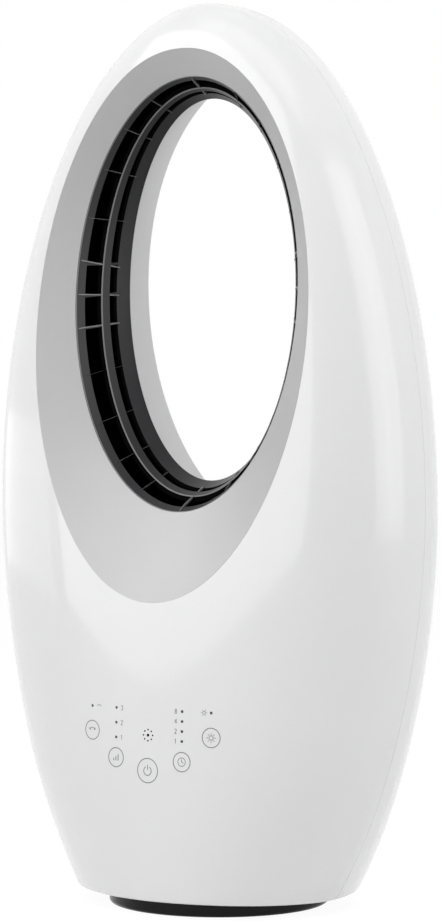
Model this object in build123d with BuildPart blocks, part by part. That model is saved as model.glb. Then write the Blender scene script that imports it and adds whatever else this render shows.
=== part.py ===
"""Bladeless fan: an egg-shaped casing around an elliptical air loop, on a round swivel base.

Millimetres. +Z is up, the front faces -Y, and the origin is on the swivel axis at the floor.
"""
from build123d import *
from collections import namedtuple
from math import atan2, cos, degrees, hypot, pi, radians, sin, sqrt, tan
import os

os.makedirs("parts", exist_ok=True)

# ---------------------------------------------------------------- casing
casing_height = 618.0
casing_foot = 10.5
casing_half_width = 168.9
widest_height = 275.0
crown_rise = 1.0                # the outline would close this far above the flat on the crown
lower_reach = 337.2             # the lower outline would close this far below the widest height
upper_fullness = 1.943          # exponents of the outline above and below its widest height
lower_fullness = 1.905
seam_depth = -9.7               # the front and rear casings meet on this plane
seam_gap = 0.3
front_depth = 79.5              # depths ahead of and behind the seam, at the foot
rear_depth = 99.15
front_lean = 0.0314             # what they lose per mm of height
rear_lean = 0.0327
crown_start = 270.0             # depths close in above this height and taper off below it
front_crown_fullness = 2.83
rear_crown_fullness = 5.13
foot_reach = 322.5
foot_fullness = 6.3
front_squareness_foot = 1.924   # exponents of the horizontal section
front_squareness_panel = 2.112
front_squareness_crown = 2.419
panel_height = 110.0
crown_height = 400.0
rear_squareness = 2.17
casing_wall = 3.0
foot_rounding = 2.5
foot_steps = 4
foot_lip = 6.6                  # the foot's turned-in lip, which carries the casing's floor
fitting_gap = 0.3               # plates and covers inside the casing
run_on = 5.0                    # how far a cutting body runs past the seam
side_run = 2.0                  # its sides are straight this far from the seam
lower_sections = 9
upper_sections = 4
shoulder_share = 0.87           # sections crowd together above this share of the height
side_points = 4                 # points on a quarter of a section

# ---------------------------------------------------------------- air loop
Hoop = namedtuple("Hoop", "half_width half_height height depth tilt")
bezel_rim = Hoop(114.1, 186.6, 396.9, -65.4, 0.0938)
outlet_rim = Hoop(91.1, 148.1, 417.7, -43.3, 0.051)
throat = Hoop(68.6, 131.2, 421.8, -9.5, 0.0)
tube_rim = Hoop(105.2, 163.0, 418.6, 70.2, -0.069)
rim_overrun = 0.25              # the bezel and tube run on past their rims before they are trimmed
rim_recess = 0.3                # the bezel's and tube's edges stand this far below the surface
bezel_wall = 2.5
outlet_wall = 3.0
tube_wall = 2.5
loop_gap = 0.2                  # between the loop's rings, and around them in the casings
slot_rows = [(0.17, 0.46), (0.605, 0.755)]
ridge_row = (0.46, 0.605)
ridge_height = 0.8
rib_count = 24
rib_thickness = 1.7
rib_reach = 170.0               # how far the ribs' sheets reach from the loop's middle

# ---------------------------------------------------------------- touch panel
small_key = 6.4
large_key = 8.1
power_key = (0.0, 98.2)
inner_key = (26.7, 105.4)
outer_key = (48.3, 122.4)
lamp_radius = 0.9
lamp_clearance = 0.1
lamp_top = 138.8
lamp_bottom = 119.0
speed_lamps = 3
timer_lamps = 4
sounder_height = 121.8
sounder_ring = 3.7
sounder_holes = 8
sounder_hole = 0.5
sounder_centre_hole = 0.85
board_thickness = 1.6
touch_board_depth = -77.0       # front face of the touch board
touch_board_width = 112.0
touch_board_bottom = 88.0
touch_board_top = 146.0
touch_board_corner = 4.0
chip_spacing = 28.0
chip_length = 10.0
chip_width = 7.0
chip_height = 1.6
chip_margin = 8.0               # from the board's lower edge to the chips' middle
pad_radius = 4.6
pad_gap = 0.1
sounder_radius = 6.0
sounder_thickness = 5.4
sounder_cover = 1.0

# ---------------------------------------------------------------- swivel base
foot_proud = 0.4
foot_count = 6
foot_radius = 7.0
foot_circle = 60.0
foot_pocket = 1.0
base_radius = 75.8
base_top = 13.0
base_roof = 2.5
base_rim_wall = 3.0
base_rounding = 2.5
base_plate_thickness = 2.0
base_plate_gap = 0.2
swivel_boss_depth = 7.0         # bosses under the base's top, for the swivel's screws
ballast_inner = 36.0
ballast_outer = 58.0
ballast_gap = 0.3
base_post_circle = 66.0
base_post_radius = 3.6
base_post_count = 4
base_post_turn = 45.0
jack_width = 9.0
jack_length = 13.0
jack_bore = 3.1
jack_pin = 1.0
jack_gap = 0.2
jack_inset = 0.6                # the socket's mouth lies this far inside the base's wall
jack_depth = 9.5
jack_pin_length = 8.5
slide_inner = 58.0
slide_outer = 70.0
slide_height = 6.8
swivel_gap = 0.2
swing_gear_teeth = 64
swing_pinion_teeth = 18
gear_module = 1.0
gear_backlash = 0.12            # taken off each tooth flank
pressure_angle = 20.0
swing_gear_height = 6.0
spindle_bore = 10.0
spindle_radius = 15.0
spindle_flange_radius = 24.0
spindle_flange_height = 3.0
spindle_screw_circle = 19.5
spindle_screw_count = 4
gear_screw_circle = 27.2
gear_screw_count = 3
bush_clearance = 0.05
bush_wall = 2.5
floor_thickness = 3.0
floor_boss_radius = 22.0
floor_boss_height = 9.2
retainer_gap = 0.3
retainer_thickness = 2.0
retainer_radius = 21.5
retainer_screw_circle = 12.5
retainer_screw_count = 3

# ---------------------------------------------------------------- swing motor
swing_motor_radius = 17.5
swing_motor_height = 18.5
swing_motor_offset = 8.0
swing_ear_pitch = 21.0
swing_ear_radius = 4.5
swing_ear_thickness = 1.2
swing_shaft_radius = 2.5
shaft_clearance = 0.05
pinion_gap = 0.6
shaft_hole_play = 2.0           # round the shaft where it passes the casing's floor
motor_cap = 3.0                 # solid end of the swing motor above its shaft
shaft_end_gap = 0.5

# ---------------------------------------------------------------- fan unit
plenum_height = 200.0
plenum_thickness = 3.0
gasket_thickness = 1.5
duct_bore = 62.0
duct_wall = 2.5
duct_bottom = 80.0
duct_mouth = 6.0
duct_flange_radius = 72.0
duct_flange_thickness = 3.0
duct_screw_circle = 68.3
duct_screw_count = 4
fan_hub_radius = 26.0
vane_ring_wall = 2.0
vane_count = 9
vane_thickness = 1.8
vane_tilt = 18.0
vane_length = 25.0
vane_bottom = 156.0
vane_top = 192.0
motor_radius = 21.0
motor_bottom = 157.0
motor_length = 30.0
damper_margin = 4.0
damper_bore = 10.5
motor_edge = 1.5
shaft_radius = 2.5
shaft_bottom = 98.0
shaft_top = 184.0
impeller_bottom = 107.0
impeller_top = 147.0
impeller_nose_radius = 15.0
impeller_wall = 2.0
impeller_boss_radius = 6.0
impeller_tip_gap = 1.2
blade_count = 7
blade_thickness = 1.8
blade_root_pitch = 52.0
blade_tip_pitch = 28.0
blade_depth = 30.0              # along the shaft
blade_root_depth = 4.0          # how far a blade's root runs into the hub
impeller_boss_shortfall = 3.0   # the boss ends this far below the impeller's top
nut_width = 8.0
nut_height = 4.0

# ---------------------------------------------------------------- boards and light
control_board_side = 88.0       # distance of the control board from the middle plane
control_board_length = 70.0
control_board_bottom = 27.0
control_board_top = 118.0
rail_width = 6.0
rail_gap = 0.1
rail_shortfall = 10.0           # the rails end this far below the board's top
relay_size = (9.0, 22.0, 14.0)
capacitor_places = [(-22.0, 22.0), (-22.0, -20.0), (20.0, -26.0)]
capacitor_radius = 4.0
capacitor_height = 11.0
light_band = (0.34, 0.50)
light_thickness = 1.9
light_gap = 0.3

# ---------------------------------------------------------------- inlet grille
grille_half_width = 76.0
grille_bottom = 52.0
grille_top = 176.0
grille_corner = 16.0
grille_slot_height = 3.2
grille_slot_pitch = 7.0
grille_rows = 16
grille_slot_length = 20.5
grille_slot_run = 24.5
grille_columns = 6

# ---------------------------------------------------------------- screws
screw_shank = 1.5
screw_head = 2.8
screw_head_height = 1.8
screw_recess_width = 0.7
screw_recess_depth = 0.9
screw_play = 0.25
screw_run_out = 1.0             # how far a screw's hole goes on past its tip
seam_post_radius = 4.8
seam_post_places = [(112.0, 70.0), (146.0, 222.0), (135.0, 400.0), (88.0, 535.0)]
crown_post_height = 600.0
seam_screw_grip = 8.0           # rear casing material under each seam screw's head
seam_screw_length = 18.0
floor_post_places = [(77.0, 37.0), (77.0, -37.0), (-77.0, 37.0), (-77.0, -37.0)]
floor_post_radius = 4.2
floor_post_height = 18.0
floor_screw_length = 12.0
base_screw_length = 7.0
swivel_screw_length = 8.0
retaining_screw_length = 9.0
swing_screw_length = 4.0
duct_screw_length = 8.0
web_thickness = 2.6
web_length = 34.0
ledge_width = 7.0
ledge_height = 3.0
ledge_inner_side = 104.0


# ================================================================ shapes shared by several pieces
def smooth_step(share):
    share = min(max(share, 0.0), 1.0)
    return share * share * (3.0 - 2.0 * share)


def closing(share, fullness):
    """A superellipse's half width, 1 at share 0 and 0 at share 1."""
    return (1.0 - max(share, 0.0) ** fullness) ** (1.0 / fullness)


def half_width_at(height, inset):
    if height >= widest_height:
        share = (height - widest_height) / (casing_height + crown_rise - inset - widest_height)
        return (casing_half_width - inset) * closing(share, upper_fullness)
    return (casing_half_width - inset) * closing((widest_height - height) / lower_reach,
                                                 lower_fullness)


def depth_at(height, inset, side):
    """How far the casing reaches from the seam; side is -1 for the front, 1 for the rear."""
    depth, lean, fullness = ((front_depth, front_lean, front_crown_fullness) if side < 0
                             else (rear_depth, rear_lean, rear_crown_fullness))
    above = (height - crown_start) / (casing_height + crown_rise - inset - crown_start)
    below = (crown_start - height) / foot_reach
    return ((depth - lean * (height - casing_foot) - inset)
            * closing(above, fullness) * closing(below, foot_fullness))


def squareness_at(height, side):
    if side > 0:
        return rear_squareness
    lower = smooth_step((height - casing_foot) / (panel_height - casing_foot))
    upper = smooth_step((height - panel_height) / (crown_height - panel_height))
    return (front_squareness_foot
            + (front_squareness_panel - front_squareness_foot) * lower
            + (front_squareness_crown - front_squareness_panel) * upper)


def front_surface(x, height, inset=0.0):
    """Depth of the casing's front surface, moved inwards by inset, at a place on the front."""
    share = abs(x) / half_width_at(height, inset)
    return front_seam - depth_at(height, inset, -1) * closing(share, squareness_at(height, -1))


def half_section(height, inset, side, past_seam):
    """One casing's section: a superellipse's half, closed past_seam beyond the seam."""
    seam = front_seam if side < 0 else rear_seam
    half_width = half_width_at(height, inset)
    depth = depth_at(height, inset, side)
    edge = seam - side * past_seam
    if past_seam > 0:
        seam += side * side_run
        depth -= side_run
    squareness = squareness_at(height, side)
    points = []
    for step in range(2 * side_points + 1):
        angle = pi * step / (2 * side_points)
        reach = (abs(cos(angle)) ** squareness + abs(sin(angle)) ** squareness) ** (-1 / squareness)
        points.append((half_width * cos(angle) * reach, seam + side * depth * sin(angle) * reach))
    with BuildSketch(Plane.XY.offset(height)) as section:
        with BuildLine():
            Spline(*points, tangents=[(0, side), (0, -side)], tangent_scalars=[1.0, 1.0])
            if past_seam > 0:
                Polyline((-half_width, seam), (-half_width, edge), (half_width, edge),
                         (half_width, seam))
            else:
                Line((-half_width, seam), (half_width, seam))
        make_face()
    return section.sketch


def casing_section(height, inset):
    """The whole casing's section, moved inwards by inset."""
    front = half_section(height, inset, -1, run_on)
    rear = half_section(height, inset, 1, run_on)
    with BuildSketch(Plane.XY.offset(height)) as section:
        add(front)
        add(rear)
    return section.sketch


def half_body(inset, side, foot, past_seam):
    """One casing's outline as a filled body, moved inwards by inset, from foot to the crown."""
    top = casing_height - inset
    shoulder = foot + shoulder_share * (top - foot)
    heights = [foot + (shoulder - foot) * step / lower_sections for step in range(lower_sections)]
    heights += [shoulder + (top - shoulder) * sin(pi / 2 * step / upper_sections)
                for step in range(upper_sections + 1)]
    sections = [half_section(height, inset, side, past_seam) for height in heights]
    with BuildPart() as body:
        loft(sections=sections, clean=False)
    return body.part


def casing_outline(side):
    """One casing's filled outline, with the rounded edge at its foot."""
    rounded = []
    for step in range(foot_steps + 1):
        turn = pi / 2 * step / foot_steps
        rounded.append(half_section(casing_foot + foot_rounding * (1.0 - cos(turn)),
                                    foot_rounding * (1.0 - sin(turn)), side, 0.0))
    body = half_body(0.0, side, casing_foot + foot_rounding, 0.0)
    with BuildPart() as outline:
        add(body)
        loft(sections=rounded, clean=False)
    return outline.part


def hoop_between(first, last, share):
    """The ellipse where the straight-sided cone from first to last has come share of the way."""
    middle = Hoop(*(start + (end - start) * share for start, end in zip(first, last)))
    first_rise = first.tilt * first.half_height
    last_rise = last.tilt * last.half_height
    rise = first_rise + (last_rise - first_rise) * share
    return middle._replace(tilt=rise / middle.half_height)


def hoop_solid(first, last, grow):
    """A filled cone between two of the loop's ellipses, both larger by grow."""
    sections = []
    for hoop in (first, last):
        plane = Plane((0, hoop.depth, hoop.height), x_dir=(1, 0, 0), z_dir=(0, -1, hoop.tilt))
        with BuildSketch(plane) as section:
            Ellipse(hoop.half_width + grow, hoop.half_height * hypot(1, hoop.tilt) + grow)
        sections.append(section.sketch)
    with BuildPart() as cone:
        loft(sections=sections, ruled=True)
    return cone.part


def hoop_wall(first, last, inner, outer):
    """The wall between the cones that are larger by inner and by outer."""
    outside = hoop_solid(first, last, outer)
    inside = hoop_solid(first, last, inner)
    with BuildPart() as wall:
        add(outside)
        add(inside, mode=Mode.SUBTRACT)
    return wall.part


def front_plane(x, depth, height):
    """A plane that faces the front, with its local Y up."""
    return Plane((x, depth, height), x_dir=(1, 0, 0), z_dir=(0, -1, 0))


def rear_plane(x, depth, height):
    """A plane that faces the rear, with its local Y up."""
    return Plane((x, depth, height), x_dir=(-1, 0, 0), z_dir=(0, 1, 0))


def column(plane, radius, length):
    """A cylinder standing on a plane."""
    with BuildPart() as solid:
        with BuildSketch(plane):
            Circle(radius)
        extrude(amount=length)
    return solid.part


def columns(planes, radius, length):
    with BuildPart() as group:
        for plane in planes:
            with BuildSketch(plane):
                Circle(radius)
            extrude(amount=length)
    return group.part


def tube(bottom, top, inner, outer):
    """An upright tube on the swivel axis."""
    with BuildPart() as solid:
        with BuildSketch(Plane.XY.offset(bottom)):
            Circle(outer)
            Circle(inner, mode=Mode.SUBTRACT)
        extrude(amount=top - bottom)
    return solid.part


def screw(shank_length, head=screw_head, shank=screw_shank):
    """A cross-recessed pan-head screw: its head on the local XY plane, its shank below it."""
    with BuildPart() as solid:
        Cylinder(head, screw_head_height, align=(Align.CENTER, Align.CENTER, Align.MIN))
        Cylinder(shank, shank_length, align=(Align.CENTER, Align.CENTER, Align.MAX))
        with Locations((0, 0, screw_head_height)):
            Box(head, screw_recess_width, 2 * screw_recess_depth, mode=Mode.SUBTRACT)
            Box(screw_recess_width, head, 2 * screw_recess_depth, mode=Mode.SUBTRACT)
    return solid.part


def screws(planes, shank_length):
    fastener = screw(shank_length)
    with BuildPart() as group:
        for plane in planes:
            with Locations(plane):
                add(fastener)
    return group.part


def ring_places(radius, count, turn=0.0):
    angles = [radians(turn + 360.0 * step / count) for step in range(count)]
    return [(radius * cos(angle), radius * sin(angle)) for angle in angles]


def upright(places, height):
    return [Plane((x, y, height)) for x, y in places]


def hanging(places, height):
    return [Plane((x, y, height), x_dir=(1, 0, 0), z_dir=(0, 0, -1)) for x, y in places]


def gear_outline(teeth, turn):
    """Corner points of an involute spur gear, with a tooth centred on turn degrees."""
    pitch = gear_module * teeth / 2
    base = pitch * cos(radians(pressure_angle))
    tip = pitch + gear_module
    root = pitch - 1.25 * gear_module
    involute = tan(radians(pressure_angle)) - radians(pressure_angle)
    half_tooth = pi / (2 * teeth) - gear_backlash / pitch
    flank = []
    for radius in (root, max(base, root + 0.1), (max(base, root) + pitch) / 2, pitch,
                   (pitch + tip) / 2, tip):
        roll = sqrt(max((radius / base) ** 2 - 1, 0))
        flank.append((radius, half_tooth + involute - (roll - atan2(roll, 1))))
    points = []
    for tooth in range(teeth):
        middle = radians(turn) + 2 * pi * tooth / teeth
        for radius, angle in flank:
            points.append((radius * cos(middle - angle), radius * sin(middle - angle)))
        for radius, angle in reversed(flank):
            points.append((radius * cos(middle + angle), radius * sin(middle + angle)))
    return points


# ================================================================ heights and places
front_seam = seam_depth - seam_gap / 2
rear_seam = seam_depth + seam_gap / 2
base_bottom = foot_proud
base_ceiling = base_top - base_roof
base_plate_top = base_bottom + base_plate_thickness
floor_bottom = base_top + slide_height + swivel_gap
floor_top = floor_bottom + floor_thickness
boss_top = floor_top + floor_boss_height
spindle_top = boss_top + retainer_gap
gear_distance = gear_module * (swing_gear_teeth + swing_pinion_teeth) / 2
pinion_bottom = base_top + pinion_gap
pinion_top = floor_bottom - pinion_gap
swing_motor_top = floor_top + swing_motor_height
swing_motor_middle = gear_distance + swing_motor_offset
swing_ears = [(swing_motor_middle, swing_ear_pitch), (swing_motor_middle, -swing_ear_pitch)]
duct_top = plenum_height - gasket_thickness
floor_pilot = floor_screw_length - floor_thickness + screw_run_out
base_pilot = base_screw_length - base_plate_thickness / 2 + screw_run_out
swivel_pilot = swivel_screw_length - spindle_flange_height + screw_run_out
spindle_pilot = retaining_screw_length - retainer_thickness + screw_run_out
seam_posts = [(side * x, height) for x, height in seam_post_places for side in (1, -1)]
seam_posts.append((0.0, crown_post_height))
key_places = [(0.0, power_key[1]), (inner_key[0], inner_key[1]), (-inner_key[0], inner_key[1]),
              (outer_key[0], outer_key[1]), (-outer_key[0], outer_key[1])]
lamp_span = lamp_top - lamp_bottom
lamp_places = [(-outer_key[0], lamp_top), (outer_key[0], lamp_top)]
lamp_places += [(-inner_key[0], lamp_top - lamp_span * step / (speed_lamps - 1))
                for step in range(speed_lamps)]
lamp_places += [(inner_key[0], lamp_top - lamp_span * step / (timer_lamps - 1))
                for step in range(timer_lamps)]
sounder_places = [(x, sounder_height + z) for x, z in ring_places(sounder_ring, sounder_holes)]
bezel_start = hoop_between(outlet_rim, bezel_rim, 1.0 + rim_overrun)
tube_end = hoop_between(throat, tube_rim, 1.0 + rim_overrun)

# ================================================================ what the casings carry inside
front_span = [front_plane(x, front_seam + run_on, z) for x, z in seam_posts]
rear_span = [rear_plane(x, rear_seam - run_on, z) for x, z in seam_posts]
front_trim = half_body(rim_recess, -1, casing_foot, 0.0)
rear_trim = half_body(rim_recess, 1, casing_foot, 0.0)
rear_cavity = half_body(casing_wall, 1, floor_bottom, run_on)

with BuildPart() as floor_posts:
    add(columns(upright(floor_post_places, floor_top), floor_post_radius, floor_post_height))
    for x, y in floor_post_places:
        with Locations(Location((x, y, floor_top + floor_post_height / 2),
                                (0, 0, degrees(atan2(y, x))))):
            Box(web_length, web_thickness, floor_post_height,
                align=(Align.MIN, Align.CENTER, Align.CENTER))

with BuildPart() as plenum_ledge:
    with BuildSketch(Plane.XY.offset(plenum_height - ledge_height)):
        Rectangle(2 * casing_half_width, 2 * rear_depth)
        Rectangle(2 * ledge_inner_side, 2 * rear_depth, mode=Mode.SUBTRACT)
        add(casing_section(plenum_height - ledge_height, casing_wall + ledge_width),
            mode=Mode.SUBTRACT)
    extrude(amount=ledge_height, dir=(0, 0, 1))

with BuildPart() as foot_opening:
    add(casing_section(casing_foot, foot_lip))
    extrude(amount=floor_bottom - casing_foot + fitting_gap, both=True)


def casing_half(side, seam_span):
    """One casing before its openings: the outline less the cavity that its fittings leave."""
    cavity_body = rear_cavity if side > 0 else half_body(casing_wall, side, floor_bottom, run_on)
    outline = casing_outline(side)
    posts = columns(seam_span, seam_post_radius, rear_depth)
    with BuildPart() as cavity:
        add(cavity_body)
        add(posts, mode=Mode.SUBTRACT, clean=False)
        add(floor_posts.part, mode=Mode.SUBTRACT, clean=False)
        add(plenum_ledge.part, mode=Mode.SUBTRACT, clean=False)
    with BuildPart() as half:
        add(outline)
        add(cavity.part, mode=Mode.SUBTRACT, clean=False)
        add(foot_opening.part, mode=Mode.SUBTRACT, clean=False)
    return half.part


# ================================================================ front casing
front_half = casing_half(-1, front_span)

with BuildPart() as front_cutters:
    add(hoop_solid(bezel_start, outlet_rim, bezel_wall + loop_gap))
    add(hoop_solid(bezel_start._replace(depth=-front_depth - run_on), bezel_start,
                   bezel_wall + loop_gap))
    add(columns([front_plane(x, front_seam, z) for x, z in seam_posts], screw_shank,
                seam_screw_length - seam_screw_grip + screw_run_out))
    add(columns(upright(floor_post_places, floor_top), screw_shank, floor_pilot))
    add(columns([front_plane(x, touch_board_depth, z) for x, z in lamp_places],
                lamp_radius + lamp_clearance, front_depth))
    add(columns([front_plane(x, touch_board_depth, z) for x, z in sounder_places],
                sounder_hole, front_depth))
    add(columns([front_plane(0, touch_board_depth, sounder_height)], sounder_centre_hole,
                front_depth))

with BuildPart() as front_casing:
    add(front_half)
    add(front_cutters.part, mode=Mode.SUBTRACT, clean=False)
front_casing.part.label = "front_casing"
export_step(front_casing.part, "parts/front_casing.step")

# ================================================================ rear casing
rear_half = casing_half(1, rear_span)

with BuildPart() as rear_cutters:
    add(hoop_solid(throat, tube_end, tube_wall + loop_gap))
    with BuildSketch(rear_plane(0, 0, (grille_bottom + grille_top) / 2)):
        RectangleRounded(2 * grille_half_width, grille_top - grille_bottom, grille_corner)
    extrude(amount=rear_depth)
    add(columns([rear_plane(x, rear_seam + seam_screw_grip, z) for x, z in seam_posts],
                screw_head + screw_play, rear_depth))
    add(columns([rear_plane(x, rear_seam, z) for x, z in seam_posts],
                screw_shank + screw_play, rear_depth))
    add(columns(upright(floor_post_places, floor_top), screw_shank, floor_pilot))

with BuildPart() as rear_casing:
    add(rear_half)
    add(rear_cutters.part, mode=Mode.SUBTRACT, clean=False)
rear_casing.part.label = "rear_casing"
export_step(rear_casing.part, "parts/rear_casing.step")

# ================================================================ inlet grille
with BuildSketch(rear_plane(0, 0, (grille_bottom + grille_top) / 2)) as grille_face:
    RectangleRounded(2 * (grille_half_width - fitting_gap),
                     grille_top - grille_bottom - 2 * fitting_gap, grille_corner - fitting_gap)
    with GridLocations(grille_slot_run, grille_slot_pitch, grille_columns, grille_rows):
        Rectangle(grille_slot_length, grille_slot_height, mode=Mode.SUBTRACT)

with BuildPart() as inlet_grille:
    add(grille_face.sketch)
    extrude(amount=rear_depth, dir=(0, 1, 0))
    add(rear_trim, mode=Mode.INTERSECT, clean=False)
    add(rear_cavity, mode=Mode.SUBTRACT, clean=False)
inlet_grille.part.label = "inlet_grille"
export_step(inlet_grille.part, "parts/inlet_grille.step")

with BuildPart() as seam_screws:
    add(screws([rear_plane(x, rear_seam + seam_screw_grip, z) for x, z in seam_posts],
               seam_screw_length))
seam_screws.part.label = "seam_screws"
export_step(seam_screws.part, "parts/seam_screws.step")

# ================================================================ air loop
with BuildPart() as front_bezel:
    add(hoop_wall(bezel_start, outlet_rim, 0.0, bezel_wall))
    add(front_trim, mode=Mode.INTERSECT, clean=False)
front_bezel.part.label = "front_bezel"
export_step(front_bezel.part, "parts/front_bezel.step")

outlet_start = outlet_rim._replace(depth=outlet_rim.depth + loop_gap)
outlet_end = throat._replace(depth=throat.depth - loop_gap)

rib_middle = (outlet_start.height + outlet_end.height) / 2

with BuildSketch(front_plane(0, outlet_start.depth - run_on, 0)) as outlet_slots:
    for row in slot_rows:
        for share, mode in zip(row, (Mode.ADD, Mode.SUBTRACT)):
            hoop = hoop_between(outlet_start, outlet_end, share)
            with Locations((0, hoop.height)):
                Ellipse(hoop.half_width, hoop.half_height, mode=mode)
    with Locations((0, rib_middle)):
        with PolarLocations(rib_reach / 2, rib_count):
            Rectangle(rib_reach, rib_thickness, mode=Mode.SUBTRACT)

with BuildPart() as slot_cutter:
    add(outlet_slots.sketch)
    extrude(amount=outlet_end.depth - outlet_start.depth + 2 * run_on, dir=(0, 1, 0))

with BuildPart() as air_outlet_ring:
    add(hoop_wall(outlet_start, outlet_end, 0.0, outlet_wall))
    add(hoop_wall(*(hoop_between(outlet_start, outlet_end, share) for share in ridge_row),
                  -ridge_height, outlet_wall / 2))
    add(slot_cutter.part, mode=Mode.SUBTRACT, clean=False)
air_outlet_ring.part.label = "air_outlet_ring"
export_step(air_outlet_ring.part, "parts/air_outlet_ring.step")

with BuildPart() as rear_tube:
    add(hoop_wall(throat, tube_end, 0.0, tube_wall))
    add(rear_trim, mode=Mode.INTERSECT, clean=False)
rear_tube.part.label = "rear_tube"
export_step(rear_tube.part, "parts/rear_tube.step")

with BuildPart() as night_light_strip:
    add(hoop_wall(hoop_between(throat, tube_rim, light_band[0]),
                  hoop_between(throat, tube_rim, light_band[1]),
                  tube_wall + light_gap, tube_wall + light_thickness))
night_light_strip.part.label = "night_light_strip"
export_step(night_light_strip.part, "parts/night_light_strip.step")

# ================================================================ touch panel
touch_board_middle = (touch_board_bottom + touch_board_top) / 2
touch_board_back = touch_board_depth + board_thickness

with BuildPart() as touch_board:
    with BuildSketch(front_plane(0, touch_board_back, touch_board_middle)):
        RectangleRounded(touch_board_width, touch_board_top - touch_board_bottom,
                         touch_board_corner)
        with Locations((0, sounder_height - touch_board_middle)):
            Circle(sounder_ring + sounder_hole, mode=Mode.SUBTRACT)
    extrude(amount=board_thickness)
    with BuildSketch(rear_plane(0, touch_board_back, touch_board_bottom + chip_margin)):
        with GridLocations(chip_spacing, 0, 2, 1):
            Rectangle(chip_length, chip_width)
    extrude(amount=chip_height)
touch_board.part.label = "touch_board"
export_step(touch_board.part, "parts/touch_board.step")

with BuildPart() as touch_pads:
    for x, z in key_places:
        pad_end = front_surface(abs(x) + pad_radius, z + pad_radius, casing_wall + pad_gap)
        add(column(front_plane(x, touch_board_depth, z), pad_radius, touch_board_depth - pad_end))
touch_pads.part.label = "touch_pads"
export_step(touch_pads.part, "parts/touch_pads.step")

with BuildPart() as lamp_pipes:
    for x, z in lamp_places:
        pipe_end = front_surface(abs(x) + lamp_radius, z, rim_recess)
        add(column(front_plane(x, touch_board_depth, z), lamp_radius,
                   touch_board_depth - pipe_end))
lamp_pipes.part.label = "lamp_pipes"
export_step(lamp_pipes.part, "parts/lamp_pipes.step")

with BuildPart() as sounder:
    with BuildSketch(rear_plane(0, touch_board_back, sounder_height)):
        Circle(sounder_radius)
        Circle(sounder_ring / 2, mode=Mode.SUBTRACT)
    extrude(amount=sounder_thickness)
    with BuildSketch(rear_plane(0, touch_board_back + sounder_cover, sounder_height)):
        Circle(sounder_radius)
    extrude(amount=sounder_thickness - sounder_cover)
sounder.part.label = "sounder"
export_step(sounder.part, "parts/sounder.step")

# ================================================================ base
base_posts = ring_places(base_post_circle, base_post_count, base_post_turn)
spindle_screw_places = ring_places(spindle_screw_circle, spindle_screw_count)
gear_screw_places = ring_places(gear_screw_circle, gear_screw_count, 60.0)
feet_places = ring_places(foot_circle, foot_count)
jack_front = base_radius - jack_inset
jack_middle = (base_plate_top + base_ceiling) / 2
jack_height = base_ceiling - base_plate_top - 2 * jack_gap

with BuildPart() as base_shell:
    with BuildSketch(Plane.XY.offset(base_bottom)):
        Circle(base_radius)
    extrude(amount=base_top - base_bottom)
    fillet(base_shell.edges().group_by(Axis.Z)[0], base_rounding)
    with BuildSketch(Plane.XY.offset(base_bottom)):
        Circle(base_radius - base_rim_wall)
    extrude(amount=base_ceiling - base_bottom, mode=Mode.SUBTRACT)
    with BuildSketch(Plane.XY.offset(base_plate_top)):
        with Locations(*base_posts):
            Circle(base_post_radius)
    extrude(amount=base_ceiling - base_plate_top)
    with BuildSketch(Plane.XY.offset(base_top - swivel_boss_depth)):
        with Locations(*spindle_screw_places, *gear_screw_places):
            Circle(screw_head)
    extrude(amount=swivel_boss_depth - base_roof)
    with BuildSketch(Plane.XY.offset(base_plate_top)):
        Circle(spindle_bore)
    extrude(amount=base_top - base_plate_top, mode=Mode.SUBTRACT)
    add(columns(upright(base_posts, base_plate_top), screw_shank, base_pilot),
        mode=Mode.SUBTRACT)
    add(columns(hanging(spindle_screw_places + gear_screw_places, base_top), screw_shank,
                swivel_pilot), mode=Mode.SUBTRACT)
    with BuildSketch(rear_plane(0, base_radius - 2 * base_rim_wall, jack_middle)):
        Rectangle(jack_width + 2 * jack_gap, jack_height + 2 * jack_gap)
    extrude(amount=3 * base_rim_wall, mode=Mode.SUBTRACT)
base_shell.part.label = "base_shell"
export_step(base_shell.part, "parts/base_shell.step")

with BuildPart() as base_plate:
    with BuildSketch(Plane.XY.offset(base_bottom)):
        Circle(base_radius - base_rim_wall - base_plate_gap)
        with Locations(*base_posts):
            Circle(screw_shank + screw_play, mode=Mode.SUBTRACT)
    extrude(amount=base_plate_thickness)
    add(columns(upright(feet_places, base_bottom), foot_radius, foot_pocket), mode=Mode.SUBTRACT)
    add(columns(upright(base_posts, base_bottom), screw_head + screw_play,
                base_plate_thickness / 2), mode=Mode.SUBTRACT)
base_plate.part.label = "base_plate"
export_step(base_plate.part, "parts/base_plate.step")

with BuildPart() as base_screws:
    add(screws(hanging(base_posts, base_bottom + base_plate_thickness / 2),
               base_screw_length))
base_screws.part.label = "base_screws"
export_step(base_screws.part, "parts/base_screws.step")

with BuildPart() as rubber_feet:
    add(columns(upright(feet_places, 0.0), foot_radius, foot_proud + foot_pocket))
rubber_feet.part.label = "rubber_feet"
export_step(rubber_feet.part, "parts/rubber_feet.step")

with BuildPart() as base_weight:
    add(tube(base_plate_top + ballast_gap, base_ceiling - ballast_gap, ballast_inner,
             ballast_outer))
base_weight.part.label = "base_weight"
export_step(base_weight.part, "parts/base_weight.step")

with BuildPart() as power_jack:
    with BuildSketch(rear_plane(0, jack_front - jack_length, jack_middle)):
        Rectangle(jack_width, jack_height)
    extrude(amount=jack_length)
    add(column(rear_plane(0, jack_front - jack_depth, jack_middle), jack_bore, jack_depth),
        mode=Mode.SUBTRACT)
    add(column(rear_plane(0, jack_front - jack_depth, jack_middle), jack_pin, jack_pin_length))
power_jack.part.label = "power_jack"
export_step(power_jack.part, "parts/power_jack.step")

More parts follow.
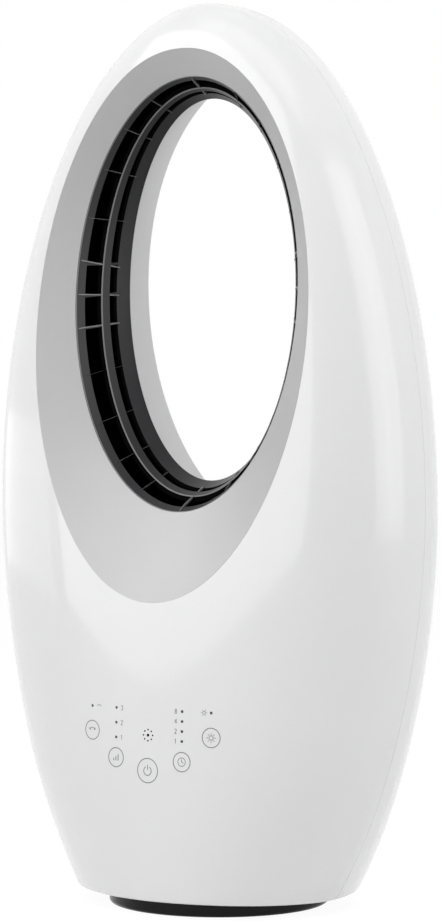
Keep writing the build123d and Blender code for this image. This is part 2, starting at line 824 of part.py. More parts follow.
# ================================================================ swivel
with BuildPart() as swivel_spindle:
    add(tube(base_top, spindle_top, spindle_bore, spindle_radius))
    add(tube(base_top, base_top + spindle_flange_height, spindle_bore, spindle_flange_radius))
    add(columns(upright(spindle_screw_places, base_top), screw_shank + screw_play,
                spindle_flange_height), mode=Mode.SUBTRACT)
    add(columns(hanging(ring_places(retainer_screw_circle, retainer_screw_count), spindle_top),
                screw_shank, spindle_pilot), mode=Mode.SUBTRACT)
swivel_spindle.part.label = "swivel_spindle"
export_step(swivel_spindle.part, "parts/swivel_spindle.step")

with BuildPart() as swing_gear:
    with BuildSketch(Plane.XY.offset(base_top)):
        with BuildLine():
            Polyline(*gear_outline(swing_gear_teeth, 0.0), close=True)
        make_face()
        Circle(spindle_flange_radius + base_plate_gap, mode=Mode.SUBTRACT)
        with Locations(*gear_screw_places):
            Circle(screw_shank + screw_play, mode=Mode.SUBTRACT)
    extrude(amount=swing_gear_height)
    add(columns(hanging(gear_screw_places, base_top + swing_gear_height),
                screw_head + screw_play, swing_gear_height - spindle_flange_height),
        mode=Mode.SUBTRACT)
swing_gear.part.label = "swing_gear"
export_step(swing_gear.part, "parts/swing_gear.step")

with BuildPart() as swivel_screws:
    add(screws(upright(spindle_screw_places + gear_screw_places,
                       base_top + spindle_flange_height), swivel_screw_length))
swivel_screws.part.label = "swivel_screws"
export_step(swivel_screws.part, "parts/swivel_screws.step")

with BuildPart() as slide_ring:
    add(tube(base_top, base_top + slide_height, slide_inner, slide_outer))
slide_ring.part.label = "slide_ring"
export_step(slide_ring.part, "parts/slide_ring.step")

bush_bore = spindle_radius + bush_clearance
bush_outer = bush_bore + bush_wall
with BuildPart() as swivel_bush:
    add(tube(floor_bottom, boss_top, bush_bore, bush_outer))
swivel_bush.part.label = "swivel_bush"
export_step(swivel_bush.part, "parts/swivel_bush.step")

with BuildPart() as retaining_washer:
    with BuildSketch(Plane.XY.offset(spindle_top)):
        Circle(retainer_radius)
        Circle(spindle_bore, mode=Mode.SUBTRACT)
        with Locations(*ring_places(retainer_screw_circle, retainer_screw_count)):
            Circle(screw_shank + screw_play / 2, mode=Mode.SUBTRACT)
    extrude(amount=retainer_thickness)
retaining_washer.part.label = "retaining_washer"
export_step(retaining_washer.part, "parts/retaining_washer.step")

with BuildPart() as retaining_screws:
    add(screws(upright(ring_places(retainer_screw_circle, retainer_screw_count),
                       spindle_top + retainer_thickness), retaining_screw_length))
retaining_screws.part.label = "retaining_screws"
export_step(retaining_screws.part, "parts/retaining_screws.step")

# ================================================================ casing floor
rail_span = control_board_length / 2
with BuildPart() as casing_floor:
    add(casing_section(floor_bottom, casing_wall + fitting_gap))
    extrude(amount=floor_thickness, dir=(0, 0, 1))
    add(tube(floor_bottom, boss_top, bush_outer, floor_boss_radius))
    add(column(Plane.XY.offset(floor_bottom), bush_outer, floor_thickness), mode=Mode.SUBTRACT)
    add(column(Plane((gear_distance, 0, floor_bottom)), swing_shaft_radius + shaft_hole_play,
               floor_thickness), mode=Mode.SUBTRACT)
    add(columns(upright(floor_post_places, floor_bottom), screw_shank + screw_play,
                floor_thickness), mode=Mode.SUBTRACT)
    with Locations((control_board_side, rail_span, floor_top),
                   (control_board_side, -rail_span, floor_top)):
        Box(rail_width, rail_width, control_board_top - floor_top - rail_shortfall,
            align=(Align.CENTER, Align.CENTER, Align.MIN))
    with Locations((control_board_side, 0, control_board_bottom)):
        Box(board_thickness + 2 * rail_gap, control_board_length + 2 * rail_gap,
            control_board_top, align=(Align.CENTER, Align.CENTER, Align.MIN), mode=Mode.SUBTRACT)
    add(columns(upright(swing_ears, floor_bottom), screw_shank, floor_thickness),
        mode=Mode.SUBTRACT)
casing_floor.part.label = "casing_floor"
export_step(casing_floor.part, "parts/casing_floor.step")

with BuildPart() as floor_screws:
    add(screws(hanging(floor_post_places, floor_bottom), floor_screw_length))
floor_screws.part.label = "floor_screws"
export_step(floor_screws.part, "parts/floor_screws.step")

# ================================================================ swing drive
with BuildPart() as swing_motor:
    with BuildSketch(Plane.XY.offset(floor_top)):
        with Locations((swing_motor_middle, 0)):
            Circle(swing_motor_radius)
    extrude(amount=swing_motor_height)
    with BuildSketch(Plane.XY.offset(floor_top)):
        with Locations((swing_motor_middle, 0)):
            SlotCenterToCenter(2 * swing_ear_pitch, 2 * swing_ear_radius, rotation=90)
        with Locations(*swing_ears):
            Circle(screw_shank + screw_play, mode=Mode.SUBTRACT)
    extrude(amount=swing_ear_thickness)
    add(column(Plane((gear_distance, 0, floor_top)), swing_shaft_radius + shaft_clearance,
               swing_motor_height - motor_cap), mode=Mode.SUBTRACT)
swing_motor.part.label = "swing_motor"
export_step(swing_motor.part, "parts/swing_motor.step")

with BuildPart() as swing_motor_screws:
    add(screws(upright(swing_ears, floor_top + swing_ear_thickness), swing_screw_length))
swing_motor_screws.part.label = "swing_motor_screws"
export_step(swing_motor_screws.part, "parts/swing_motor_screws.step")

with BuildPart() as swing_pinion:
    pinion_plane = Plane((gear_distance, 0, pinion_bottom))
    with BuildSketch(pinion_plane):
        with BuildLine():
            Polyline(*gear_outline(swing_pinion_teeth, 180.0 / swing_pinion_teeth), close=True)
        make_face()
        Circle(swing_shaft_radius, mode=Mode.SUBTRACT)
    extrude(amount=pinion_top - pinion_bottom)
swing_pinion.part.label = "swing_pinion"
export_step(swing_pinion.part, "parts/swing_pinion.step")

with BuildPart() as swing_shaft:
    add(column(Plane((gear_distance, 0, pinion_bottom)), swing_shaft_radius,
               swing_motor_top - motor_cap - shaft_end_gap - pinion_bottom))
swing_shaft.part.label = "swing_shaft"
export_step(swing_shaft.part, "parts/swing_shaft.step")

# ================================================================ fan unit
duct_screw_places = ring_places(duct_screw_circle, duct_screw_count, 45.0)

with BuildPart() as plenum_plate:
    add(casing_section(plenum_height, casing_wall + fitting_gap))
    extrude(amount=plenum_thickness, dir=(0, 0, 1))
    add(column(Plane.XY.offset(plenum_height), duct_bore, plenum_thickness), mode=Mode.SUBTRACT)
    add(columns(upright(duct_screw_places, plenum_height), screw_shank + screw_play,
                plenum_thickness), mode=Mode.SUBTRACT)
plenum_plate.part.label = "plenum_plate"
export_step(plenum_plate.part, "parts/plenum_plate.step")

with BuildPart() as duct_gasket:
    with BuildSketch(Plane.XY.offset(duct_top)):
        Circle(duct_flange_radius)
        Circle(duct_bore, mode=Mode.SUBTRACT)
        with Locations(*duct_screw_places):
            Circle(screw_shank + screw_play, mode=Mode.SUBTRACT)
    extrude(amount=gasket_thickness)
duct_gasket.part.label = "duct_gasket"
export_step(duct_gasket.part, "parts/duct_gasket.step")

with BuildPart() as fan_duct:
    with BuildSketch(Plane.XZ):
        with BuildLine():
            inner_line = Line((duct_bore, duct_top), (duct_bore, duct_bottom + duct_mouth))
            RadiusArc(inner_line @ 1, (duct_bore + duct_mouth, duct_bottom), duct_mouth)
            Polyline((duct_bore + duct_mouth, duct_bottom),
                     (duct_bore + duct_mouth, duct_bottom + duct_wall),
                     (duct_bore + duct_wall, duct_bottom + duct_mouth + duct_wall),
                     (duct_bore + duct_wall, duct_top - duct_flange_thickness),
                     (duct_flange_radius, duct_top - duct_flange_thickness),
                     (duct_flange_radius, duct_top),
                     (duct_bore, duct_top))
        make_face()
    revolve(axis=Axis.Z)
    add(columns(upright(duct_screw_places, duct_top - duct_flange_thickness), screw_shank,
                duct_flange_thickness), mode=Mode.SUBTRACT)
fan_duct.part.label = "fan_duct"
export_step(fan_duct.part, "parts/fan_duct.step")

with BuildPart() as duct_screws:
    add(screws(upright(duct_screw_places, plenum_height + plenum_thickness),
               duct_screw_length))
duct_screws.part.label = "duct_screws"
export_step(duct_screws.part, "parts/duct_screws.step")

with BuildPart() as guide_vanes:
    with Locations((0, 0, (vane_bottom + vane_top) / 2)):
        with PolarLocations((fan_hub_radius + duct_bore) / 2, vane_count):
            Box(duct_bore - fan_hub_radius, vane_thickness, vane_length,
                rotation=(vane_tilt, 0, 0))
    add(tube(vane_bottom, vane_top, fan_hub_radius, duct_bore), mode=Mode.INTERSECT)
    add(tube(vane_bottom, vane_top, duct_bore - vane_ring_wall, duct_bore))
    add(tube(vane_bottom, vane_top, fan_hub_radius, fan_hub_radius + vane_ring_wall))
    add(column(Plane.XY.offset(vane_top - vane_ring_wall), fan_hub_radius + vane_ring_wall / 4,
               vane_ring_wall))
guide_vanes.part.label = "guide_vanes"
export_step(guide_vanes.part, "parts/guide_vanes.step")

with BuildPart() as motor_damper:
    add(tube(motor_bottom + damper_margin, motor_bottom + motor_length, motor_radius,
             fan_hub_radius))
    add(tube(motor_bottom + motor_length, vane_top - vane_ring_wall, damper_bore,
             fan_hub_radius))
motor_damper.part.label = "motor_damper"
export_step(motor_damper.part, "parts/motor_damper.step")

with BuildPart() as fan_motor:
    add(column(Plane.XY.offset(motor_bottom), motor_radius, motor_length))
    fillet(fan_motor.edges().group_by(Axis.Z)[0], motor_edge)
    add(column(Plane.XY.offset(motor_bottom), shaft_radius + shaft_clearance,
               shaft_top + shaft_end_gap - motor_bottom), mode=Mode.SUBTRACT)
fan_motor.part.label = "fan_motor"
export_step(fan_motor.part, "parts/fan_motor.step")

with BuildPart() as motor_shaft:
    add(column(Plane.XY.offset(shaft_bottom), shaft_radius, shaft_top - shaft_bottom))
motor_shaft.part.label = "motor_shaft"
export_step(motor_shaft.part, "parts/motor_shaft.step")


def hub_cone(inset, bottom, top):
    """The impeller hub's outer cone, moved inwards by inset."""
    with BuildPart() as cone:
        with BuildSketch(Plane.XZ):
            with BuildLine():
                Polyline((0, bottom), (impeller_nose_radius - inset, bottom),
                         (fan_hub_radius - inset, top), (0, top), close=True)
            make_face()
        revolve(axis=Axis.Z)
    return cone.part


def blade_section(radius, pitch):
    """A blade's flat section on a cylinder radius, drawn on the plane square to X."""
    middle = (impeller_bottom + impeller_top) / 2
    plane = Plane((radius, 0, middle), x_dir=(0, 1, 0), z_dir=(1, 0, 0))
    with BuildSketch(plane) as section:
        Rectangle(blade_depth / sin(radians(pitch)), blade_thickness, rotation=pitch)
    return section.sketch


blade_tip = duct_bore - impeller_tip_gap
blade_ends = [blade_section(impeller_nose_radius - blade_root_depth, blade_root_pitch),
              blade_section(blade_tip + run_on, blade_tip_pitch)]
with BuildPart() as blade:
    loft(sections=blade_ends)

with BuildPart() as impeller:
    with PolarLocations(0, blade_count):
        add(blade.part)
    add(tube(impeller_bottom, impeller_top, impeller_nose_radius - impeller_wall / 2,
             blade_tip),
        mode=Mode.INTERSECT)
    add(hub_cone(0.0, impeller_bottom, impeller_top))
    add(hub_cone(impeller_wall, impeller_bottom + impeller_wall, impeller_top),
        mode=Mode.SUBTRACT)
    add(tube(impeller_bottom, impeller_top - impeller_boss_shortfall, shaft_radius,
             impeller_boss_radius))
    add(column(Plane.XY.offset(impeller_bottom), shaft_radius, impeller_top - impeller_bottom),
        mode=Mode.SUBTRACT)
impeller.part.label = "impeller"
export_step(impeller.part, "parts/impeller.step")

with BuildPart() as impeller_nut:
    with BuildSketch(Plane.XY.offset(impeller_bottom - nut_height)):
        RegularPolygon(nut_width / 2, 6, major_radius=False)
        Circle(shaft_radius, mode=Mode.SUBTRACT)
    extrude(amount=nut_height)
impeller_nut.part.label = "impeller_nut"
export_step(impeller_nut.part, "parts/impeller_nut.step")

# ================================================================ control board
board_middle = (control_board_bottom + control_board_top) / 2
with BuildPart() as control_board:
    with Locations((control_board_side, 0, board_middle)):
        Box(board_thickness, control_board_length, control_board_top - control_board_bottom)
    with Locations((control_board_side - board_thickness / 2, 0, board_middle)):
        Box(*relay_size, align=(Align.MAX, Align.CENTER, Align.CENTER))
    with BuildSketch(Plane((control_board_side - board_thickness / 2, 0, board_middle),
                           x_dir=(0, 1, 0), z_dir=(-1, 0, 0))):
        with Locations(*capacitor_places):
            Circle(capacitor_radius)
    extrude(amount=capacitor_height)
control_board.part.label = "control_board"
export_step(control_board.part, "parts/control_board.step")
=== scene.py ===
"""A bladeless fan in a plain studio: smooth casings, air loop, panel marks, materials, light.

Shapes are in millimetres and the studio in metres. The front faces -Y, and the two casings are
told apart by side, which is FRONT or REAR.
"""
import bpy
import bmesh
from collections import namedtuple
from math import asin, atan2, cos, hypot, pi, radians, sin
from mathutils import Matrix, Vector

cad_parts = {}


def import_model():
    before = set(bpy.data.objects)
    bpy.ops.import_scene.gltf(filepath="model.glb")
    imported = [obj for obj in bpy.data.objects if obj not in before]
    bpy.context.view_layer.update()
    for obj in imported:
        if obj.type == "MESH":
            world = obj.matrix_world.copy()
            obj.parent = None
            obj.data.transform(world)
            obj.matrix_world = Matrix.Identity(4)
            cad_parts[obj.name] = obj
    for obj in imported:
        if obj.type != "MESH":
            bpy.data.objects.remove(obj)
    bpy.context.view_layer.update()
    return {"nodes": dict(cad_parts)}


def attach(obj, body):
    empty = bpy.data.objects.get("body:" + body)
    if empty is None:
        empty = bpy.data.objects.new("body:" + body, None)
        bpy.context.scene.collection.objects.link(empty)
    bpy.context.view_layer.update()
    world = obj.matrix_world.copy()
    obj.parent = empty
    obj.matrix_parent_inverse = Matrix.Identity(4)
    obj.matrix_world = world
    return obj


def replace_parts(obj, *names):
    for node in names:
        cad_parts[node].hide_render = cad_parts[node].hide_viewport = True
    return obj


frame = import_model()
nodes = frame["nodes"]
MM = 0.001
FRONT, REAR = -1, 1

# ------------------------------------------------------------ the casing's form
TOP, FOOT = 618.0, 10.5
HALF_WIDTH = 168.8              # this and the rear depth are a hair less than the solids', so that
                                # the smooth skins stay inside the solids' box
WIDEST = 275.0                  # height of the widest section
LOWER_REACH = 337.2             # the outline would close this far below it
UPPER_FULLNESS, LOWER_FULLNESS = 1.943, 1.905
DEPTH = {FRONT: 79.5, REAR: 99.08}      # ahead of and behind the seam, at the foot
LEAN = {FRONT: 0.0314, REAR: 0.0327}    # what they lose per mm of height
CROWN_START = 270.0             # depths close in above this height and taper off below it
CROWN_FULLNESS = {FRONT: 2.83, REAR: 5.13}
FOOT_REACH, FOOT_FULLNESS = 322.5, 6.3
REAR_SQUARENESS = 2.17          # exponents of the horizontal section
FRONT_SQUARENESS = 1.924        # at the foot, from where it gains as the section rises
PANEL_HEIGHT, PANEL_GAIN = 110.0, 0.188
CROWN_HEIGHT, CROWN_GAIN = 400.0, 0.307

SEAM, SEAM_GAP = -9.7, 0.3
CASING_WALL = 3.0
FOOT_ROUND, FOOT_LIP = 2.5, 6.6
SIDE_FOOT = FOOT + FOOT_ROUND   # the outer skin turns in to the foot below this height
FLOOR = 20.0                    # the inner skin ends at this height

# A hoop's height and depth are those of its middle, and it is tilt mm deeper for each mm higher up.
Hoop = namedtuple("Hoop", "half_width half_height height depth tilt")
BEZEL_RIM = Hoop(114.1, 186.6, 396.9, -65.4, 0.0938)
OUTLET_RIM = Hoop(91.1, 148.1, 417.7, -43.3, 0.051)
THROAT = Hoop(68.6, 131.2, 421.8, -9.5, 0.0)
TUBE_RIM = Hoop(105.2, 163.0, 418.6, 70.2, -0.069)
OVERRUN = 1.25                  # the loop's cones run past their rims by a quarter
HOOP_WALL, LOOP_GAP = 2.5, 0.2
KNIFE_GAP = 0.08                # round the bezel, whose edge is thin where the casing meets it
RECESS = 0.3                    # the loop's walls end this far below the casing's surface


def smooth_step(t):
    """From 0 at 0 to 1 at 1, level at both ends."""
    t = min(max(t, 0.0), 1.0)
    return t * t * (3 - 2 * t)


def closing(t, fullness):
    """1 at 0, falling to 0 at 1 along a superellipse."""
    return max(1.0 - max(t, 0.0) ** fullness, 0.0) ** (1.0 / fullness)


def half_width(z, inset=0.0):
    if z >= WIDEST:
        share = closing((z - WIDEST) / (TOP - inset - WIDEST), UPPER_FULLNESS)
    else:
        share = closing((WIDEST - z) / LOWER_REACH, LOWER_FULLNESS)
    return (HALF_WIDTH - inset) * share


def half_depth(z, side, inset=0.0):
    above = closing((z - CROWN_START) / (TOP - inset - CROWN_START), CROWN_FULLNESS[side])
    below = closing((CROWN_START - z) / FOOT_REACH, FOOT_FULLNESS)
    return (DEPTH[side] - LEAN[side] * (z - FOOT) - inset) * above * below


def squareness(z, side):
    if side == REAR:
        return REAR_SQUARENESS
    return (FRONT_SQUARENESS + PANEL_GAIN * smooth_step((z - FOOT) / (PANEL_HEIGHT - FOOT))
            + CROWN_GAIN * smooth_step((z - PANEL_HEIGHT) / (CROWN_HEIGHT - PANEL_HEIGHT)))


def seam_y(side):
    return SEAM + side * SEAM_GAP / 2


def on_casing(turn, z, side, inset=0.0):
    """The point of a casing at a turn round its section, 0 at +X and pi at -X."""
    n = squareness(z, side)
    c, s = cos(turn), sin(turn)
    r = (abs(c) ** n + abs(s) ** n) ** (-1 / n)
    return Vector((half_width(z, inset) * c * r,
                   seam_y(side) + side * half_depth(z, side, inset) * s * r, z))


def surface_y(x, z, side, inset=0.0):
    """Where a line along Y meets a casing's skin."""
    share = closing(abs(x) / half_width(z, inset), squareness(z, side))
    return seam_y(side) + side * half_depth(z, side, inset) * share


def inside_share(p, side):
    """Below 1 inside the casing's surface, above 1 outside it."""
    n = squareness(p.z, side)
    a, b = half_width(p.z), half_depth(p.z, side)
    if a <= 0 or b <= 0:                # above the top or below the foot
        return 9.0
    return (abs(p.x) / a) ** n + (max(side * (p.y - seam_y(side)), 0) / b) ** n


def casing_normal(p, side, step=0.05):
    v = Vector([inside_share(p + Vector(d) * step, side) - inside_share(p - Vector(d) * step, side)
                for d in ((1, 0, 0), (0, 1, 0), (0, 0, 1))])
    return v.normalized() if v.length > 0 else Vector((0, 0, 1))


def hoop_between(first, last, share):
    """The hoop at a share of the way along the cone through two hoops."""
    mixed = Hoop(*[a + (b - a) * share for a, b in zip(first, last)])
    start, end = first.tilt * first.half_height, last.tilt * last.half_height
    return mixed._replace(tilt=(start + (end - start) * share) / mixed.half_height)


def on_hoop(hoop, turn, grow=0.0):
    """The point at a turn round a hoop that is larger by grow, 0 at +X and pi / 2 at the top."""
    slant = hypot(1, hoop.tilt)
    high = (hoop.half_height * slant + grow) * sin(turn)
    return Vector(((hoop.half_width + grow) * cos(turn),
                   hoop.depth + hoop.tilt * high / slant, hoop.height + high / slant))


LOOP_CONE = {FRONT: (OUTLET_RIM, hoop_between(OUTLET_RIM, BEZEL_RIM, OVERRUN)),
             REAR: (THROAT, hoop_between(THROAT, TUBE_RIM, OVERRUN))}


def bisect(low, high, holds, steps=40):
    """The last place between low and high at which holds is still true."""
    for _ in range(steps):
        middle = (low + high) / 2
        if holds(middle):
            low = middle
        else:
            high = middle
    return low


def rim_point(turn, side, grow, recess=0.0):
    """Where the loop's cone, larger by grow, meets the casing's surface."""
    a, b = [on_hoop(hoop, turn, grow) for hoop in LOOP_CONE[side]]
    sunk = Vector((0, side * recess, 0))
    share = bisect(0.0, 1.0, lambda t: inside_share(a.lerp(b, t) + sunk, side) < 1)
    return a.lerp(b, share)


# ------------------------------------------------------------ mesh helpers
def new_object(name, verts, faces, materials, body=None, face_slots=None):
    """A smooth mesh; face_slots numbers the material of each face."""
    mesh = bpy.data.meshes.new(name)
    mesh.from_pydata([tuple(Vector(v) * MM) for v in verts], [], faces)
    mesh.validate()
    mesh.update()
    obj = bpy.data.objects.new(name, mesh)
    bpy.context.scene.collection.objects.link(obj)
    mesh.polygons.foreach_set("use_smooth", [True] * len(mesh.polygons))
    if face_slots:
        mesh.polygons.foreach_set("material_index", face_slots)
    for material in materials:
        mesh.materials.append(material)
    if body:
        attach(obj, body)
    return obj


def weld(obj, distance=1e-7, outward=True):
    """Joins points that coincide; outward turns every face outwards as well."""
    bm = bmesh.new()
    bm.from_mesh(obj.data)
    bmesh.ops.remove_doubles(bm, verts=bm.verts, dist=distance)
    bmesh.ops.dissolve_degenerate(bm, dist=distance, edges=bm.edges)
    if outward:
        bmesh.ops.recalc_face_normals(bm, faces=bm.faces)
    bm.to_mesh(obj.data)
    bm.free()


def sharpen(obj, degrees=35.0):
    """Smooth shading with crisp edges where faces meet at more than the angle."""
    bm = bmesh.new()
    bm.from_mesh(obj.data)
    limit = radians(degrees)
    for edge in bm.edges:
        edge.smooth = not (len(edge.link_faces) == 2 and edge.calc_face_angle(0) > limit)
    for face in bm.faces:
        face.smooth = True
    bm.to_mesh(obj.data)
    bm.free()


def turned(face, keep):
    return face if keep else face[::-1]


def grid_faces(rows, cols, start=0, closed=False, flip=False):
    """Quads between rows of points that are numbered from start."""
    faces = []
    for r in range(rows - 1):
        for c in range(cols if closed else cols - 1):
            d = (c + 1) % cols
            faces.append(turned((start + r * cols + c, start + r * cols + d,
                                 start + (r + 1) * cols + d, start + (r + 1) * cols + c),
                                not flip))
    return faces


def gathered(parts):
    """One list of points and one of faces from several such pairs."""
    verts, faces = [], []
    for points, own_faces in parts:
        faces += [tuple(k + len(verts) for k in face) for face in own_faces]
        verts += points
    return verts, faces


def circle(x, z, radius, count):
    return [(x + radius * cos(2 * pi * k / count), z + radius * sin(2 * pi * k / count))
            for k in range(count)]


def rounded_box(half_w, low, high, radius, count=10):
    """A box's outline round x = 0, from the height low to high."""
    points = []
    corners = [(half_w, high), (-half_w, high), (-half_w, low), (half_w, low)]
    for quarter, (x, z) in enumerate(corners):
        x -= radius if x > 0 else -radius
        z -= radius if z == high else -radius
        for k in range(count + 1):
            t = radians(90 * quarter + 90 * k / count)
            points.append((x + radius * cos(t), z + radius * sin(t)))
    return points


def prism(outline, y0, y1):
    """A prism along Y from an outline of (x, z) points."""
    n = len(outline)
    verts = [(x, y, z) for y in (y0, y1) for x, z in outline]
    faces = [tuple(range(n))[::-1], tuple(range(n, 2 * n))]
    faces += [(k, (k + 1) % n, n + (k + 1) % n, n + k) for k in range(n)]
    return verts, faces


# ------------------------------------------------------------ materials
CLOUD_SCALE, CLOUD_DETAIL = 14.0, 5.0       # slow changes of colour and gloss, per metre
GRAIN_DETAIL, GRAIN_DEPTH = 3.0, 0.0002
COAT_ROUGHNESS = 0.06
SUBSURFACE_DEPTH = 0.002


def shader(name, color, rough, spread, rough_spread=0.0, coat=0.0, metal=0.0, ior=1.5, bump=0.0,
           grain=900.0, subsurface=0.0):
    """Plastic, rubber or metal with a little uneven colour, gloss and surface grain."""
    mat = bpy.data.materials.new(name)
    mat.use_nodes = True
    tree = mat.node_tree
    new, link = tree.nodes.new, tree.links.new
    bsdf = tree.nodes["Principled BSDF"]
    bsdf.inputs["Base Color"].default_value = (*color, 1)
    bsdf.inputs["Roughness"].default_value = rough
    bsdf.inputs["Metallic"].default_value = metal
    bsdf.inputs["IOR"].default_value = ior
    bsdf.inputs["Coat Weight"].default_value = coat
    bsdf.inputs["Coat Roughness"].default_value = COAT_ROUGHNESS
    if subsurface:
        bsdf.inputs["Subsurface Weight"].default_value = subsurface
        bsdf.inputs["Subsurface Scale"].default_value = SUBSURFACE_DEPTH
    place = new("ShaderNodeTexCoord")
    cloud = new("ShaderNodeTexNoise")
    cloud.inputs["Scale"].default_value = CLOUD_SCALE
    cloud.inputs["Detail"].default_value = CLOUD_DETAIL
    link(place.outputs["Object"], cloud.inputs["Vector"])
    ramp = new("ShaderNodeValToRGB")
    darker, lighter = ramp.color_ramp.elements
    darker.position, lighter.position = 0.3, 0.7
    darker.color = (*[max(c - spread, 0) for c in color], 1)
    lighter.color = (*[min(c + spread, 1) for c in color], 1)
    link(cloud.outputs["Fac"], ramp.inputs["Fac"])
    link(ramp.outputs["Color"], bsdf.inputs["Base Color"])
    if rough_spread:
        reach = new("ShaderNodeMapRange")
        reach.inputs["To Min"].default_value = max(rough - rough_spread, 0.02)
        reach.inputs["To Max"].default_value = rough + rough_spread
        link(cloud.outputs["Fac"], reach.inputs["Value"])
        link(reach.outputs["Result"], bsdf.inputs["Roughness"])
    if bump:
        fine = new("ShaderNodeTexNoise")
        fine.inputs["Scale"].default_value = grain
        fine.inputs["Detail"].default_value = GRAIN_DETAIL
        link(place.outputs["Object"], fine.inputs["Vector"])
        relief = new("ShaderNodeBump")
        relief.inputs["Strength"].default_value = bump
        relief.inputs["Distance"].default_value = GRAIN_DEPTH
        link(fine.outputs["Fac"], relief.inputs["Height"])
        link(relief.outputs["Normal"], bsdf.inputs["Normal"])
    return mat


WHITE = shader("casing_white", (0.80, 0.80, 0.805), 0.22, 0.006, 0.03, coat=0.9, ior=1.46,
               bump=0.02, grain=260.0)
# Near black with almost no gloss for the casings' insides, the panel holes' walls, the posts and
# the outlet ring's hidden faces: painted shade where the plastic lies in shadow.
INNER_PAINTED_SHADE = shader("casing_inside_painted_shade", (0.004, 0.004, 0.004), 0.9, 0.001, ior=1.05)
SILVER = shader("bezel_silver", (0.540, 0.538, 0.543), 0.42, 0.012, 0.05, coat=0.05, bump=0.10,
                grain=2600.0)
TUBE_GREY = shader("tube_grey", (0.70, 0.70, 0.705), 0.45, 0.01, 0.05, bump=0.08, grain=2400.0)
OUTLET_BLACK = shader("outlet_black", (0.026, 0.026, 0.028), 0.34, 0.004, 0.06, ior=1.40,
                      bump=0.12, grain=1800.0)
# A lighter grey than the black ring, for its fins and edge beads: painted highlight on their lit
# flanks and edges.
RING_PAINTED_HIGHLIGHT = shader("outlet_painted_highlight", (0.19, 0.19, 0.192), 0.32, 0.01, coat=0.2)
BASE_BLACK = shader("base_black", (0.006, 0.006, 0.007), 0.20, 0.002, 0.03, ior=1.25)
SATIN_BLACK = shader("inner_black", (0.02, 0.02, 0.022), 0.55, 0.006, bump=0.2, grain=1500.0)
GRILLE_DARK = shader("grille_dark", (0.03, 0.03, 0.033), 0.45, 0.006, 0.05, bump=0.15,
                     grain=1700.0)
INNER_GREY = shader("inner_grey", (0.25, 0.26, 0.27), 0.6, 0.02, bump=0.2, grain=1400.0)
ACETAL = shader("acetal_white", (0.78, 0.78, 0.74), 0.4, 0.02, 0.05)
STEEL = shader("steel", (0.55, 0.55, 0.56), 0.32, 0.03, 0.08, metal=1.0)
SCREW = shader("zinc_screw", (0.45, 0.45, 0.47), 0.38, 0.04, 0.1, metal=1.0)
IRON = shader("cast_iron", (0.12, 0.12, 0.125), 0.75, 0.03, bump=0.6, grain=700.0)
BRONZE = shader("sintered_bronze", (0.50, 0.34, 0.18), 0.5, 0.05, metal=1.0, bump=0.3)
BRASS = shader("brass", (0.70, 0.55, 0.28), 0.35, 0.04, metal=1.0)
ALLOY = shader("alloy", (0.66, 0.66, 0.68), 0.36, 0.03, 0.08, metal=1.0)
RUBBER = shader("rubber", (0.02, 0.02, 0.02), 0.85, 0.006, bump=0.4, grain=1200.0)
BOARD = shader("circuit_green", (0.02, 0.16, 0.07), 0.35, 0.02, coat=0.3)
DIFFUSER = shader("light_diffuser", (0.86, 0.83, 0.74), 0.5, 0.01, subsurface=0.4)
LENS = shader("lamp_lens", (0.10, 0.10, 0.105), 0.15, 0.02, coat=0.5)
PRINT = shader("panel_print", (0.20, 0.20, 0.205), 0.5, 0.02, 0.04)

paint = {
    WHITE: ["front_casing", "rear_casing"], GRILLE_DARK: ["inlet_grille"],
    SILVER: ["front_bezel"], OUTLET_BLACK: ["air_outlet_ring"], TUBE_GREY: ["rear_tube"],
    BASE_BLACK: ["base_shell"], LENS: ["lamp_pipes"],
    SATIN_BLACK: ["base_plate", "power_jack", "sounder", "impeller"],
    INNER_GREY: ["casing_floor", "plenum_plate", "fan_duct", "guide_vanes"],
    ACETAL: ["swing_gear", "slide_ring", "swing_pinion"], IRON: ["base_weight"],
    STEEL: ["retaining_washer", "swing_motor", "swing_shaft", "fan_motor", "motor_shaft"],
    SCREW: ["seam_screws", "base_screws", "swivel_screws", "retaining_screws", "floor_screws",
            "swing_motor_screws", "duct_screws"],
    BRONZE: ["swivel_bush"], BRASS: ["touch_pads", "impeller_nut"], ALLOY: ["swivel_spindle"],
    RUBBER: ["rubber_feet", "duct_gasket", "motor_damper"],
    BOARD: ["touch_board", "control_board"], DIFFUSER: ["night_light_strip"],
}
for material, names in paint.items():
    for name in names:
        slots = nodes[name].material_slots
        if not slots:
            nodes[name].data.materials.append(material)
        for entry in slots:
            entry.material = material


# ------------------------------------------------------------ casings
# A casing's face is a square with the loop's hole in it: u runs from -1 at the seam on -X to 1 at
# the seam on +X, and v from -1 at the foot to 1 at the top.
SPOKES, RINGS = 72, 44                  # spokes to each of the square's sides, rings round the hole
CROWDING = 1.15                         # above 1, the rings lie closer near the hole
FOOT_STEPS = 6
CASING_WELD = 2e-6                      # metres
SKIN_WHITE, SKIN_INNER = 0, 1           # the casings' materials, by number; the inner one is near-black painted shade


def square_ring(count):
    """Directions round a square, corners included, counter-clockwise from its lower right."""
    steps = [-1.0 + 2.0 * k / count for k in range(count)]
    return ([(1.0, s) for s in steps] + [(-s, 1.0) for s in steps]
            + [(-1.0, -s) for s in steps] + [(s, -1.0) for s in steps])


def to_square(p, side):
    centre = LOOP_CONE[side][0].height
    x = p.x / half_width(p.z)
    y = max(side * (p.y - seam_y(side)), 0) / half_depth(p.z, side)
    u = 1 - atan2(y, x) / (pi / 2)
    if p.z > centre:
        return u, asin(min((p.z - centre) / (TOP - centre), 1)) / (pi / 2)
    return u, (p.z - centre) / (centre - SIDE_FOOT)


